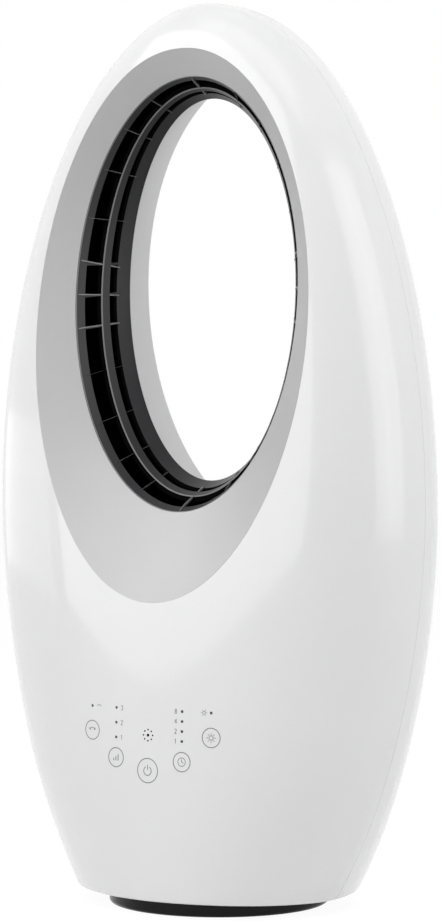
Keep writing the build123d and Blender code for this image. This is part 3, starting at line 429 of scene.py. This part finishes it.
def from_square(u, v, side, inset):
    centre = LOOP_CONE[side][0].height
    if v >= 0:
        z = centre + (TOP - centre) * sin(v * pi / 2)
    else:
        z = centre + (centre - SIDE_FOOT) * v
    if inset:                                   # the inner skin stands on the floor
        z = FLOOR + (z - SIDE_FOOT) * (TOP - inset - FLOOR) / (TOP - SIDE_FOOT)
    return on_casing((1 - u) * pi / 2, z, side, inset)


def casing_skin(side, inset, ring):
    """A casing's skin, as rings of points from the loop's hole out to the square's edge."""
    grow = KNIFE_GAP if side == FRONT and inset == 0 else HOOP_WALL + LOOP_GAP
    rim = [to_square(rim_point(atan2(v, u), side, grow), side) for u, v in ring]
    points = []
    for k in range(RINGS + 1):
        t = (k / RINGS) ** CROWDING
        points += [from_square(ru + (u - ru) * t, rv + (v - rv) * t, side, inset)
                   for (u, v), (ru, rv) in zip(ring, rim)]
    return points


def foot_rows(side, ring, foot):
    """The rounded foot and its lip, as rows of points below the outer skin's lower edge."""
    places = []
    for step in range(1, FOOT_STEPS + 1):
        a = radians(90 - 90 * step / FOOT_STEPS)
        places.append((FOOT + FOOT_ROUND * (1 - cos(a)), FOOT_ROUND * (1 - sin(a))))
    places += [(FOOT, FOOT_LIP), (FLOOR, FOOT_LIP)]
    return [[on_casing((1 - ring[k][0]) * pi / 2, z, side, inset) for k in foot]
            for z, inset in places]


def casing_mesh(name, side):
    """A casing as one closed skin: outside, inside, the hole's edge, the seam's and the foot."""
    ring = square_ring(SPOKES)
    count = len(ring)
    verts, faces, slots = [], [], []
    # The inner skin takes the near-black material, painted shade inside the casing.
    for inset in (0.0, CASING_WALL):
        flip = (side == FRONT) == (inset == 0)
        made = grid_faces(RINGS + 1, count, len(verts), closed=True, flip=flip)
        verts += casing_skin(side, inset, ring)
        faces += made
        slots += [SKIN_INNER if inset else SKIN_WHITE] * len(made)
    inner = (RINGS + 1) * count                 # from a point of the outer skin to the one inside
    outer_edge = RINGS * count
    inner_edge = inner + outer_edge
    edges = [(k, (k + 1) % count, inner + (k + 1) % count, inner + k) for k in range(count)]
    for k in range(count):
        d = (k + 1) % count
        if ring[k][1] > -1 or ring[d][1] > -1:  # along the seam and the top
            edges.append((outer_edge + k, inner_edge + k, inner_edge + d, outer_edge + d))
    foot = list(range(3 * SPOKES, count)) + [0]
    rows = [[outer_edge + k for k in foot]]
    for points in foot_rows(side, ring, foot):
        rows.append(range(len(verts), len(verts) + len(points)))
        verts += points
    rows.append([inner_edge + k for k in foot])
    for a, b in zip(rows, rows[1:]):
        edges += [(a[k], b[k], b[k + 1], a[k + 1]) for k in range(len(foot) - 1)]
    faces += [turned(face, side == FRONT) for face in edges]
    slots += [SKIN_WHITE] * len(edges)
    obj = new_object(name, verts, faces, [WHITE, INNER_PAINTED_SHADE], face_slots=slots)
    weld(obj, CASING_WELD, outward=False)
    return obj


def cut(obj, prisms, wall):
    """Cuts prisms out of a casing; the holes' walls get its material number wall."""
    verts, faces = gathered(prisms)
    tool = new_object("cutter", verts, faces, [WHITE, INNER_PAINTED_SHADE], face_slots=[wall] * len(faces))
    weld(tool)
    holes = obj.modifiers.new("holes", "BOOLEAN")
    holes.operation = "DIFFERENCE"
    holes.solver = "EXACT"
    holes.object = tool
    depsgraph = bpy.context.evaluated_depsgraph_get()
    mesh = bpy.data.meshes.new_from_object(obj.evaluated_get(depsgraph))
    obj.modifiers.clear()
    obj.data = mesh
    bpy.data.objects.remove(tool, do_unlink=True)


def true_normals(obj, side, near=0.06, facing=0.9):
    """Gives the outer skin the form's own normals, so that holes leave no ripples in the gloss."""
    mesh = obj.data
    normals = [None] * len(mesh.loops)
    known = {}
    for poly in mesh.polygons:
        centre = poly.center / MM
        skin = (poly.material_index == SKIN_WHITE and abs(inside_share(centre, side) - 1) < near
                and poly.normal.dot(casing_normal(centre, side)) > facing)
        for loop in poly.loop_indices:
            v = mesh.loops[loop].vertex_index
            if skin and v not in known:
                known[v] = casing_normal(mesh.vertices[v].co / MM, side)
            normals[loop] = known[v] if skin else poly.normal.copy()
    mesh.polygons.foreach_set("use_smooth", [True] * len(mesh.polygons))
    mesh.normals_split_custom_set([tuple(n) for n in normals])


POWER_KEY, INNER_KEY, OUTER_KEY = (0.0, 98.2), (26.7, 105.4), (48.3, 122.4)
LAMP_TOP, LAMP_BOTTOM = 138.8, 119.0
SPEEDS, HOURS = "321", "8421"           # the lamps' columns, from the top
SOUNDER_HEIGHT, SOUNDER_RING, SOUNDER_HOLES = 121.8, 3.7, 8
LAMP_HOLE = (1.0, 20)                   # radius and sides
SOUNDER_HOLE, SOUNDER_MIDDLE = (0.62, 12), (1.0, 16)    # a little wider than the solids' holes
PANEL_BACK = -60.0                      # behind the front casing's wall, all over the panel
INLET_HALF_WIDTH, INLET_LOW, INLET_HIGH, INLET_CORNER = 76.0, 52.0, 176.0, 16.0
INLET_FRONT = 50.0                      # ahead of the rear casing's wall at the inlet
CLEAR = 120.0                           # beyond both casings
SEAM_POSTS = [(s * x, z) for x, z in ((112, 70), (146, 222), (135, 400), (88, 535))
              for s in (1, -1)] + [(0, 600)]
WELL, POST, SCREW_BORE = 3.05, 4.8, 1.75
WELL_SIDES = 24
WELL_FLOOR = seam_y(REAR) + 8.0         # the seam screws grip 8 mm of the rear casing
WELL_RECESS = 0.05                      # the well's wall starts just below the skin
POST_OVERLAP = 0.2                      # the posts run on into the wall
POST_TOP = TOP - 6                      # the inner skin isn't followed above this height
LIP_HALF = 1.5                          # the tongue reaches this far to each side of the seam
LIP_INSET, LIP_BACK = 0.25, 1.6         # below the casings' surface


def lamp_column(x, count):
    return [(x, LAMP_TOP - (LAMP_TOP - LAMP_BOTTOM) * k / (count - 1)) for k in range(count)]


LAMPS = [(-OUTER_KEY[0], LAMP_TOP), (OUTER_KEY[0], LAMP_TOP),
         *lamp_column(-INNER_KEY[0], len(SPEEDS)), *lamp_column(INNER_KEY[0], len(HOURS))]


def panel_holes():
    sounder = circle(0, SOUNDER_HEIGHT, SOUNDER_RING, SOUNDER_HOLES)
    outlines = [circle(x, z, *LAMP_HOLE) for x, z in LAMPS]
    outlines += [circle(x, z, *SOUNDER_HOLE) for x, z in sounder]
    outlines.append(circle(0, SOUNDER_HEIGHT, *SOUNDER_MIDDLE))
    return [prism(outline, -CLEAR, PANEL_BACK) for outline in outlines]


def rear_holes():
    inlet = rounded_box(INLET_HALF_WIDTH, INLET_LOW, INLET_HIGH, INLET_CORNER)
    return [prism(inlet, INLET_FRONT, CLEAR)] + [
        prism(circle(x, z, WELL, WELL_SIDES), WELL_FLOOR, CLEAR) for x, z in SEAM_POSTS]


def seam_well(x, z):
    """The post that a seam screw passes through: a well, its floor, the bore and the outside."""
    well, post, bore = [circle(x, z, r, WELL_SIDES) for r in (WELL, POST, SCREW_BORE)]
    rows = [[(a, surface_y(a, b, REAR) - WELL_RECESS, b) for a, b in well],
            [(a, WELL_FLOOR, b) for a, b in well],
            [(a, WELL_FLOOR, b) for a, b in bore],
            [(a, seam_y(REAR), b) for a, b in bore],
            [(a, seam_y(REAR), b) for a, b in post],
            [(a, surface_y(a, min(b, POST_TOP), REAR, CASING_WALL) + POST_OVERLAP, b)
             for a, b in post]]
    return sum(rows, []), grid_faces(len(rows), WELL_SIDES, closed=True)


def seam_wells():
    verts, faces = gathered([seam_well(x, z) for x, z in SEAM_POSTS])
    # The bore's foot and the post's outside, inside the casing, take the near-black painted shade.
    slots = [SKIN_WHITE] * (3 * WELL_SIDES) + [SKIN_INNER] * (2 * WELL_SIDES)
    obj = new_object("seam_wells", verts, faces, [WHITE, INNER_PAINTED_SHADE], "head",
                     slots * len(SEAM_POSTS))
    sharpen(obj)


def lip_strip(mirror, steps=160):
    """Half of the tongue: a bar along the casings' outline, from the floor up to the top."""
    rows = []
    for y, inset in ((SEAM - LIP_HALF, LIP_INSET), (SEAM + LIP_HALF, LIP_INSET),
                     (SEAM + LIP_HALF, LIP_BACK), (SEAM - LIP_HALF, LIP_BACK),
                     (SEAM - LIP_HALF, LIP_INSET)):
        row = []
        for k in range(steps + 1):
            z = FLOOR + (TOP - inset - FLOOR) * (0.5 + 0.5 * sin(pi * k / steps - pi / 2))
            row.append((mirror * half_width(z, inset), y, z))
        rows.append(row)
    return sum(rows, []), grid_faces(len(rows), steps + 1)


def seam_lip():
    """The rear casing's tongue, which shows as the bottom of the groove between the casings."""
    verts, faces = gathered([lip_strip(mirror) for mirror in (1, -1)])
    obj = new_object("seam_lip", verts, faces, [WHITE], "head")
    weld(obj)
    sharpen(obj)


front = casing_mesh("front_shell", FRONT)
# The panel holes' walls take the near-black material, painted shade.
cut(front, panel_holes(), SKIN_INNER)
true_normals(front, FRONT)
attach(front, "head")
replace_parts(front, "front_casing")

rear = casing_mesh("rear_shell", REAR)
cut(rear, rear_holes(), SKIN_WHITE)
true_normals(rear, REAR)
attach(rear, "head")
seam_wells()
seam_lip()
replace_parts(rear, "rear_casing")


# ------------------------------------------------------------ air loop
LOOP_STEPS = 240                        # points round each hoop
BEZEL_STEPS, TUBE_STEPS, ROUND_STEPS = 12, 14, 4    # rows along the walls and over the tube's rim
BEZEL_RECESS = 0.04                     # the bezel's thin edge lies this far below the surface
BEZEL_SHOULDER, BEZEL_OUTSIDE = 0.80, 8     # its outside starts at this share, then this step
TUBE_ROUND = 0.7


def loop_surface(name, rows, material):
    """A closed wall through rows of (point at a turn) functions, welded round."""
    turns = [2 * pi * k / LOOP_STEPS for k in range(LOOP_STEPS)]
    verts = [row(turn) for row in rows + rows[:1] for turn in turns]
    faces = grid_faces(len(rows) + 1, LOOP_STEPS, closed=True)
    obj = new_object(name, verts, faces, [material], "head")
    weld(obj)
    sharpen(obj)
    return obj


def wall_row(side, share, grow, recess=RECESS):
    """A row of a loop wall, share of the way from the ring to the casing's surface."""
    def row(turn):
        start = on_hoop(LOOP_CONE[side][0], turn, grow)
        return start.lerp(rim_point(turn, side, grow, recess), share)
    return row


def bezel_rows():
    """Up the inside to a thin edge at the casing's surface, then down the outside."""
    rows = [wall_row(FRONT, k / BEZEL_STEPS, 0.0, BEZEL_RECESS) for k in range(BEZEL_STEPS + 1)]
    rows.append(wall_row(FRONT, BEZEL_SHOULDER, HOOP_WALL))
    return rows + [wall_row(FRONT, k / BEZEL_STEPS, HOOP_WALL)
                   for k in range(BEZEL_OUTSIDE, -1, -1)]


def tube_rows():
    """Up the inside, over the rounded rim and down the outside."""
    rows = [wall_row(REAR, k / TUBE_STEPS, 0.0) for k in range(TUBE_STEPS)]
    for k in range(ROUND_STEPS + 1):
        a = radians(90 * k / ROUND_STEPS)
        rows.append(wall_row(REAR, 1.0, TUBE_ROUND * (1 - cos(a)),
                             RECESS + TUBE_ROUND * (1 - sin(a))))
    return rows + [wall_row(REAR, k / TUBE_STEPS, HOOP_WALL) for k in range(TUBE_STEPS, -1, -1)]


bezel = loop_surface("bezel_wall", bezel_rows(), SILVER)
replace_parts(bezel, "front_bezel")
tube = loop_surface("tube_wall", tube_rows(), TUBE_GREY)
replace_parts(tube, "rear_tube")

# ------------------------------------------------------------ outlet ring
# Shares run over the ring's depth, from the bezel at 0 to the tube at 1.
RING_START = OUTLET_RIM._replace(depth=OUTLET_RIM.depth + LOOP_GAP)
RING_END = THROAT._replace(depth=THROAT.depth - LOOP_GAP)
RING_MIDDLE = (RING_START.height + RING_END.height) / 2
RING_WALL, RIDGE = 3.0, 0.8
SLOT_ROWS = [(0.17, 0.46), (0.605, 0.755)]      # with the ridge between them
CUTS = sorted({0.0, 0.02, 0.085, 0.27, 0.37, 0.475, 0.53, 0.59, 0.68, 0.84, 0.92, 0.98, 1.0,
               *SLOT_ROWS[0], *SLOT_ROWS[1]})   # the grid's lines round the ring
RIBS, RIB_THICKNESS = 24, 1.7
RIB_SEARCH = 0.14                       # a rib's place is looked for this far round, in radians
RIB_SHARE, RIB_GROW = 0.45, 1.0         # where the grid's lines lie exactly beside the ribs
SLOT_STEPS = 8
OUTLET_CREASE, FIN_CREASE = 28.0, 40.0      # degrees
FIN, FIN_TIP = 0.45, 0.36               # half the blades' thickness, at the foot and at the edge
FIN_RISE, FIN_SUNK = 1.3, 0.4           # above and below the ribs' surface
FIN_RUNS = [[(0.05, 0.0), (0.13, 0.7), (0.20, 1.0), (0.44, 1.0), (0.455, 1.0)],
            [(0.606, 0.9), (0.66, 1.0), (0.75, 0.9), (0.80, 0.0)]]  # shares of depth and of rise
BEAD_SIDES = 8
BEAD_AHEAD = 0.02                       # the share that gives a bead's direction along the ring


def ring_point(turn, share, grow):
    """A point of the ring, grow outwards from the face that lines the loop."""
    return on_hoop(RING_START, turn, grow).lerp(on_hoop(RING_END, turn, grow), share)


def rib_turn(rib, offset, share, grow):
    """The turn whose place on the ring lies offset beside the rib's middle plane."""
    a = 2 * pi * rib / RIBS

    def before(turn):
        p = ring_point(turn, share, grow)
        return -p.x * sin(a) + (p.z - RING_MIDDLE) * cos(a) < offset

    return bisect(a - RIB_SEARCH, a + RIB_SEARCH, before)


def ring_turns():
    """Turns of the ring's grid lines: both sides of every rib, and steps between ribs."""
    sides = [[rib_turn(rib, s * RIB_THICKNESS / 2, RIB_SHARE, RIB_GROW) for s in (-1, 1)]
             for rib in range(RIBS)]
    turns, is_rib = [], []
    for rib, (a, b) in enumerate(sides):
        c = sides[(rib + 1) % RIBS][0]
        if c < b:
            c += 2 * pi
        turns += [a] + [b + (c - b) * k / SLOT_STEPS for k in range(SLOT_STEPS)]
        is_rib += [True] + [False] * SLOT_STEPS
    return turns, is_rib


def outlet_grid():
    """The slotted ring: two skins, and walls round every slot and along both edges."""
    turns, is_rib = ring_turns()
    columns, last = len(turns), len(CUTS) - 1
    layer = len(CUTS) * columns         # from a point of the front skin to the one behind it
    verts = []
    for share in CUTS:
        on_ridge = SLOT_ROWS[0][1] <= share <= SLOT_ROWS[1][0]
        verts += [ring_point(t, share, -RIDGE if on_ridge else 0.0) for t in turns]
    for share in CUTS:
        verts += [ring_point(t, share, RING_WALL) for t in turns]

    def is_slot(row, col):
        if row < 0 or row >= last or is_rib[col % columns]:
            return False
        middle = (CUTS[row] + CUTS[row + 1]) / 2
        return any(low < middle < high for low, high in SLOT_ROWS)

    shown, hidden = [], []
    for r in range(last):
        for c in range(columns):
            if is_slot(r, c):
                continue
            d = (c + 1) % columns
            corners = (r * columns + c, r * columns + d, (r + 1) * columns + d,
                       (r + 1) * columns + c)
            a, b, e, g = corners
            shown.append(corners)
            hidden.append(tuple(layer + k for k in reversed(corners)))
            for beside, p, q in ((is_slot(r - 1, c), b, a), (is_slot(r + 1, c), g, e),
                                 (is_slot(r, c - 1), a, g), (is_slot(r, c + 1), e, b)):
                if beside:
                    hidden.append((p, q, layer + q, layer + p))
    for c in range(columns):
        d = (c + 1) % columns
        e, g = last * columns + c, last * columns + d
        shown += [(c, layer + c, layer + d, d), (g, layer + g, layer + e, e)]
    # The hidden faces, the back skin and the slots' walls, take the near-black painted shade.
    obj = new_object("outlet_grid", verts, shown + hidden, [OUTLET_BLACK, INNER_PAINTED_SHADE], "head",
                     [0] * len(shown) + [1] * len(hidden))
    weld(obj)
    sharpen(obj, OUTLET_CREASE)
    return obj


def rib_place(rib, share, offset, rise):
    """A point beside a rib's middle plane, rise above the ring's surface."""
    return ring_point(rib_turn(rib, offset, share, -rise), share, -rise)


def fin(rib, run):
    """A thin blade along a rib, through a run of shares."""
    verts = []
    for share, height in run:
        for offset, rise in ((-FIN, -FIN_SUNK), (-FIN_TIP, FIN_RISE * height),
                             (FIN_TIP, FIN_RISE * height), (FIN, -FIN_SUNK)):
            verts.append(rib_place(rib, share, offset, rise))
    last = len(verts) - 4
    ends = [(0, 1, 2, 3), (last + 3, last + 2, last + 1, last)]
    return verts, grid_faces(len(run), 4, closed=True) + ends


def fins():
    """Blades that stand on the ribs and taper off over the solid rows beside the slots, in a
    lighter grey that is a painted highlight on their lit flanks.
    """
    verts, faces = gathered([fin(rib, run) for rib in range(RIBS) for run in FIN_RUNS])
    obj = new_object("outlet_fins", verts, faces, [RING_PAINTED_HIGHLIGHT], "head")
    weld(obj)
    sharpen(obj, FIN_CREASE)


def bead(name, share, lift, radius):
    """A thin raised edge round the ring, in a lighter grey that is a painted highlight."""
    verts = []
    for side in range(BEAD_SIDES + 1):
        a = 2 * pi * side / BEAD_SIDES
        for k in range(LOOP_STEPS):
            turn = 2 * pi * k / LOOP_STEPS
            here = ring_point(turn, share, -lift)
            inward = (ring_point(turn, share, -lift - 1) - here).normalized()
            along = (ring_point(turn, share + BEAD_AHEAD, -lift) - here).normalized()
            verts.append(here + inward * radius * cos(a) + along * radius * sin(a))
    faces = grid_faces(BEAD_SIDES + 1, LOOP_STEPS, closed=True)
    weld(new_object(name, verts, faces, [RING_PAINTED_HIGHLIGHT], "head"))


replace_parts(outlet_grid(), "air_outlet_ring")
fins()
# The beads are there to show the ring's edges as painted highlight lines.
bead("ridge_highlight_bead", share=SLOT_ROWS[0][1] + 0.004, lift=RIDGE, radius=0.45)
bead("ring_highlight_bead", share=0.012, lift=0.0, radius=0.35)


# ------------------------------------------------------------ panel marks
PRINT_LIFT = 0.06                       # above the casing's surface
LARGE_RING, SMALL_RING = 8.1, 6.4
ARC_STEP = 5.0                          # degrees
BOLD, BAR, THIN = 0.62, 0.75, 0.5       # widths of the keys' lines
DIGIT_HEIGHT, DIGIT_LINE = 3.1, 0.45
DIGIT_CELL = (2.0, 4.0)
DIGITS = {  # a line through each number, in a cell 2 wide and 4 tall, from its lower left
    "1": [(0.4, 3.2), (1.1, 4.0), (1.1, 0.0)],
    "2": [(0.1, 3.1), (0.4, 3.8), (1.0, 4.0), (1.6, 3.8), (1.9, 3.1), (1.7, 2.4), (0.1, 0.0),
          (2.0, 0.0)],
    "3": [(0.1, 3.5), (0.6, 4.0), (1.4, 4.0), (1.9, 3.4), (1.8, 2.5), (1.0, 2.1), (1.8, 1.7),
          (2.0, 0.8), (1.5, 0.1), (0.6, 0.0), (0.0, 0.5)],
    "4": [(1.5, 0.0), (1.5, 4.0), (0.0, 1.2), (2.1, 1.2)],
    "8": [(1.0, 2.1), (0.2, 2.6), (0.2, 3.5), (1.0, 4.0), (1.8, 3.5), (1.8, 2.6), (1.0, 2.1),
          (1.9, 1.5), (1.9, 0.5), (1.0, 0.0), (0.1, 0.5), (0.1, 1.5), (1.0, 2.1)],
}
SPEED_DIGITS, HOUR_DIGITS = -22.0, 21.8     # x of the digits' middles
SWING_MARK, LIGHT_MARK = -42.1, 43.1        # x of the small signs beside the outer lamps
LIGHT_MARK_RING, LIGHT_MARK_RAYS = 0.42, 0.40


def mark(name, parts):
    """Flat (x, z) artwork laid on the front casing's surface."""
    flat, faces = gathered(parts)
    verts = [(x, surface_y(x, z, FRONT) - PRINT_LIFT, z) for x, z in flat]
    new_object(name, verts, faces, [PRINT], "head")


def arc(x, z, radius, width, start=0.0, end=360.0):
    """A flat arc round a point, from one angle to another in degrees."""
    count = int((end - start) / ARC_STEP)
    points = []
    for k in range(count + 1):
        t = radians(start + (end - start) * k / count)
        for r in (radius - width / 2, radius + width / 2):
            points.append((x + r * cos(t), z + r * sin(t)))
    return points, [(2 * k, 2 * k + 2, 2 * k + 3, 2 * k + 1) for k in range(count)]


def line(points, width):
    """A flat line through points, as one quad for each run."""
    runs = []
    for (x0, z0), (x1, z1) in zip(points, points[1:]):
        length = hypot(x1 - x0, z1 - z0)
        nx, nz = -(z1 - z0) / length * width / 2, (x1 - x0) / length * width / 2
        runs.append(([(x0 + nx, z0 + nz), (x0 - nx, z0 - nz), (x1 - nx, z1 - nz),
                      (x1 + nx, z1 + nz)], [(0, 1, 2, 3)]))
    return gathered(runs)


def rays(x, z, inner, outer, count, width):
    starts, ends = circle(x, z, inner, count), circle(x, z, outer, count)
    return [line([a, b], width) for a, b in zip(starts, ends)]


def digit(text, x, z):
    scale = DIGIT_HEIGHT / DIGIT_CELL[1]
    return line([(x + (a - DIGIT_CELL[0] / 2) * scale, z + (b - DIGIT_CELL[1] / 2) * scale)
                 for a, b in DIGITS[text]], DIGIT_LINE)


def power_sign(x, z):
    """A ring that is open at the top, with an upright in the gap."""
    return [arc(x, z - 0.2, 3.0, BOLD, 122, 418), line([(x, z + 0.5), (x, z + 3.8)], BOLD)]


def speed_sign(x, z):
    """Three rising bars."""
    return [line([(x + d, z - 2.2), (x + d, z - 2.2 + height)], BAR)
            for d, height in ((-1.9, 1.7), (0.0, 3.0), (1.9, 4.3))]


def timer_sign(x, z):
    """A clock."""
    return [arc(x, z, 2.8, THIN), line([(x, z + 1.9), (x, z), (x + 1.4, z - 0.6)], THIN)]


def swing_sign(x, z):
    """An arc with an arrow head at each end."""
    radius, middle, end = 3.2, z - 1.6, 35
    parts = [arc(x, middle, radius, THIN, end, 180 - end)]
    for s in (1, -1):
        tip_x, tip_z = x + s * radius * cos(radians(end)), middle + radius * sin(radians(end))
        parts.append(line([(tip_x - s * 1.4, tip_z + 0.1), (tip_x, tip_z),
                           (tip_x - s * 0.1, tip_z + 1.5)], THIN))
    return parts


def light_sign(x, z):
    """A lamp with rays."""
    return [arc(x, z, 1.5, THIN), *rays(x, z, 2.3, 3.3, 8, THIN)]


def lamp_signs():
    """The numbers beside the lamp columns, and a small swing and light sign by the outer lamps."""
    parts = []
    for numbers, column, x in ((SPEEDS, LAMPS[2:], SPEED_DIGITS),
                               (HOURS, LAMPS[2 + len(SPEEDS):], HOUR_DIGITS)):
        parts += [digit(text, x, z) for text, (_, z) in zip(numbers, column)]
    parts.append(arc(LIGHT_MARK, LAMP_TOP, 1.0, LIGHT_MARK_RING))
    parts += rays(LIGHT_MARK, LAMP_TOP, 1.6, 2.3, 6, LIGHT_MARK_RAYS)
    parts.append(arc(SWING_MARK, LAMP_TOP - 1.5, 2.4, DIGIT_LINE, 35, 145))
    return parts


KEYS = [("power", POWER_KEY, 1, LARGE_RING, power_sign),
        ("speed", INNER_KEY, -1, SMALL_RING, speed_sign),
        ("timer", INNER_KEY, 1, SMALL_RING, timer_sign),
        ("swing", OUTER_KEY, -1, SMALL_RING, swing_sign),
        ("light", OUTER_KEY, 1, SMALL_RING, light_sign)]
for name, (x, z), mirror, radius, sign in KEYS:
    mark(f"key_{name}", [arc(mirror * x, z, radius, BOLD), *sign(mirror * x, z)])
mark("lamp_marks", lamp_signs())

# ------------------------------------------------------------ studio, in metres
FLOOR_REACH, FLOOR_COLOR = 9.0, 0.80
FLOOR_SHOWN, FLOOR_GLOW = 0.86, 1.10    # the share of the floor's look that is plain white
AMBIENT, BACKGROUND = 0.30, 1.0
AIM = Vector((0, 0, 0.32))              # the lamps face the fan's middle
LAMP_POWER = 4.0                        # watts to a square metre of a panel of strength 1
FILL_DISTANCE, FILL_SIZE = 2.6, 1.4
FILLS = [(-45, 25, 3.01), (20, 25, 0.89), (85, 15, 0.62), (115, 15, 1.57), (-30, 65, 0.65),
         (60, 60, 3.28)]                # azimuth, elevation, strength
SHINES = {                              # azimuth, elevation, distance, width, height, strength
    "front": (-25.5, 25, 2.6, 3.71, 3.0, 1.30),
    "right": (76, 15, 2.4, 1.94, 2.6, 0.82),
    "stripe": (74, 15, 2.3, 0.32, 2.5, 0.33),
    "left": (-86, 27, 2.6, 2.3, 2.7, 0.12),
    "low": (-86, -1.5, 2.6, 2.3, 0.41, 0.48),
    "top": (0, 66, 2.4, 2.4, 1.0, 0.50),
}
CAMERA = (1.0973, -1.6528, 0.3204)
HEADING, PITCH = (-0.5531, 0.8331), -0.475      # the view's direction on the ground, and degrees
FOCAL_PIXELS, PHOTO_HEIGHT = 2871.28, 922
SENSOR, SHIFT = 36.0, 0.0020            # in mm, and a share of the frame


def shown_rays(tree):
    """A socket that is 1 for rays from the camera and those that gloss or glass sends on."""
    path = tree.nodes.new("ShaderNodeLightPath")
    total = path.outputs["Is Camera Ray"]
    for ray in ("Is Glossy Ray", "Is Transmission Ray"):
        either = tree.nodes.new("ShaderNodeMath")
        either.operation = "MAXIMUM"
        tree.links.new(total, either.inputs[0])
        tree.links.new(path.outputs[ray], either.inputs[1])
        total = either.outputs[0]
    return total


def white_floor():
    """A pale ground that shows nearly white to the camera and to gloss, and keeps its shadow."""
    mat = bpy.data.materials.new("floor_white")
    mat.use_nodes = True
    tree = mat.node_tree
    new, link = tree.nodes.new, tree.links.new
    tree.nodes.clear()
    ground, glow = new("ShaderNodeBsdfDiffuse"), new("ShaderNodeEmission")
    ground.inputs["Color"].default_value = (FLOOR_COLOR, FLOOR_COLOR, FLOOR_COLOR, 1)
    glow.inputs["Strength"].default_value = FLOOR_GLOW
    scale = new("ShaderNodeMath")
    scale.operation = "MULTIPLY"
    link(shown_rays(tree), scale.inputs[0])
    scale.inputs[1].default_value = FLOOR_SHOWN
    mix, out = new("ShaderNodeMixShader"), new("ShaderNodeOutputMaterial")
    link(scale.outputs[0], mix.inputs["Fac"])
    link(ground.outputs[0], mix.inputs[1])
    link(glow.outputs[0], mix.inputs[2])
    link(mix.outputs[0], out.inputs["Surface"])
    return mat


def white_world():
    """A soft grey light on the object, in front of a background that shows as white."""
    world = bpy.data.worlds.new("studio")
    world.use_nodes = True
    tree = world.node_tree
    new, link = tree.nodes.new, tree.links.new
    tree.nodes.clear()
    choose, out = new("ShaderNodeMixShader"), new("ShaderNodeOutputWorld")
    link(shown_rays(tree), choose.inputs["Fac"])
    for place, strength in ((1, AMBIENT), (2, BACKGROUND)):
        light = new("ShaderNodeBackground")
        light.inputs["Color"].default_value = (1, 1, 1, 1)
        light.inputs["Strength"].default_value = strength
        link(light.outputs[0], choose.inputs[place])
    link(choose.outputs[0], out.inputs["Surface"])
    return world


def softbox(name, azimuth, elevation, distance, width, height, strength, shine):
    """A panel that faces the fan, azimuth degrees from the front towards +X.

    A fill panel lights the fan evenly, and a shine panel shows only as a gloss on it.
    """
    panel = bpy.data.lights.new(name, "AREA")
    panel.shape = "RECTANGLE"
    panel.size, panel.size_y = width, height
    panel.energy = strength * LAMP_POWER * width * height
    obj = bpy.data.objects.new(name, panel)
    bpy.context.scene.collection.objects.link(obj)
    a, e = radians(azimuth), radians(elevation)
    away = Vector((cos(e) * sin(a), -cos(e) * cos(a), sin(e)))
    obj.location = AIM + away * distance
    obj.rotation_euler = (-away).to_track_quat("-Z", "Y").to_euler()
    obj.visible_camera = False
    obj.visible_glossy = shine
    obj.visible_diffuse = not shine


corners = [(-1, -1), (1, -1), (1, 1), (-1, 1)]
floor_mesh = bpy.data.meshes.new("studio_floor")
floor_mesh.from_pydata([(x * FLOOR_REACH, y * FLOOR_REACH, 0) for x, y in corners], [],
                       [(0, 1, 2, 3)])
floor_mesh.materials.append(white_floor())
floor = bpy.data.objects.new("studio_floor", floor_mesh)
bpy.context.scene.collection.objects.link(floor)
bpy.context.scene.world = white_world()
for number, (azimuth, elevation, strength) in enumerate(FILLS):
    softbox(f"fill_{number}", azimuth, elevation, FILL_DISTANCE, FILL_SIZE, FILL_SIZE, strength,
            shine=False)
for name, panel in SHINES.items():
    softbox(f"shine_{name}", *panel, shine=True)

camera_data = bpy.data.cameras.new("camera")
camera_data.sensor_fit = "AUTO"
camera_data.sensor_width = SENSOR
camera_data.lens = FOCAL_PIXELS / PHOTO_HEIGHT * SENSOR
camera_data.shift_x = SHIFT
camera_data.clip_start = 0.05
camera_data.clip_end = 50
camera = bpy.data.objects.new("camera", camera_data)
bpy.context.scene.collection.objects.link(camera)
bpy.context.scene.camera = camera
camera.location = CAMERA
level = cos(radians(PITCH))
look = Vector((HEADING[0] * level, HEADING[1] * level, sin(radians(PITCH))))
camera.rotation_euler = look.to_track_quat("-Z", "Y").to_euler()

bpy.context.scene.view_settings.view_transform = "Standard"
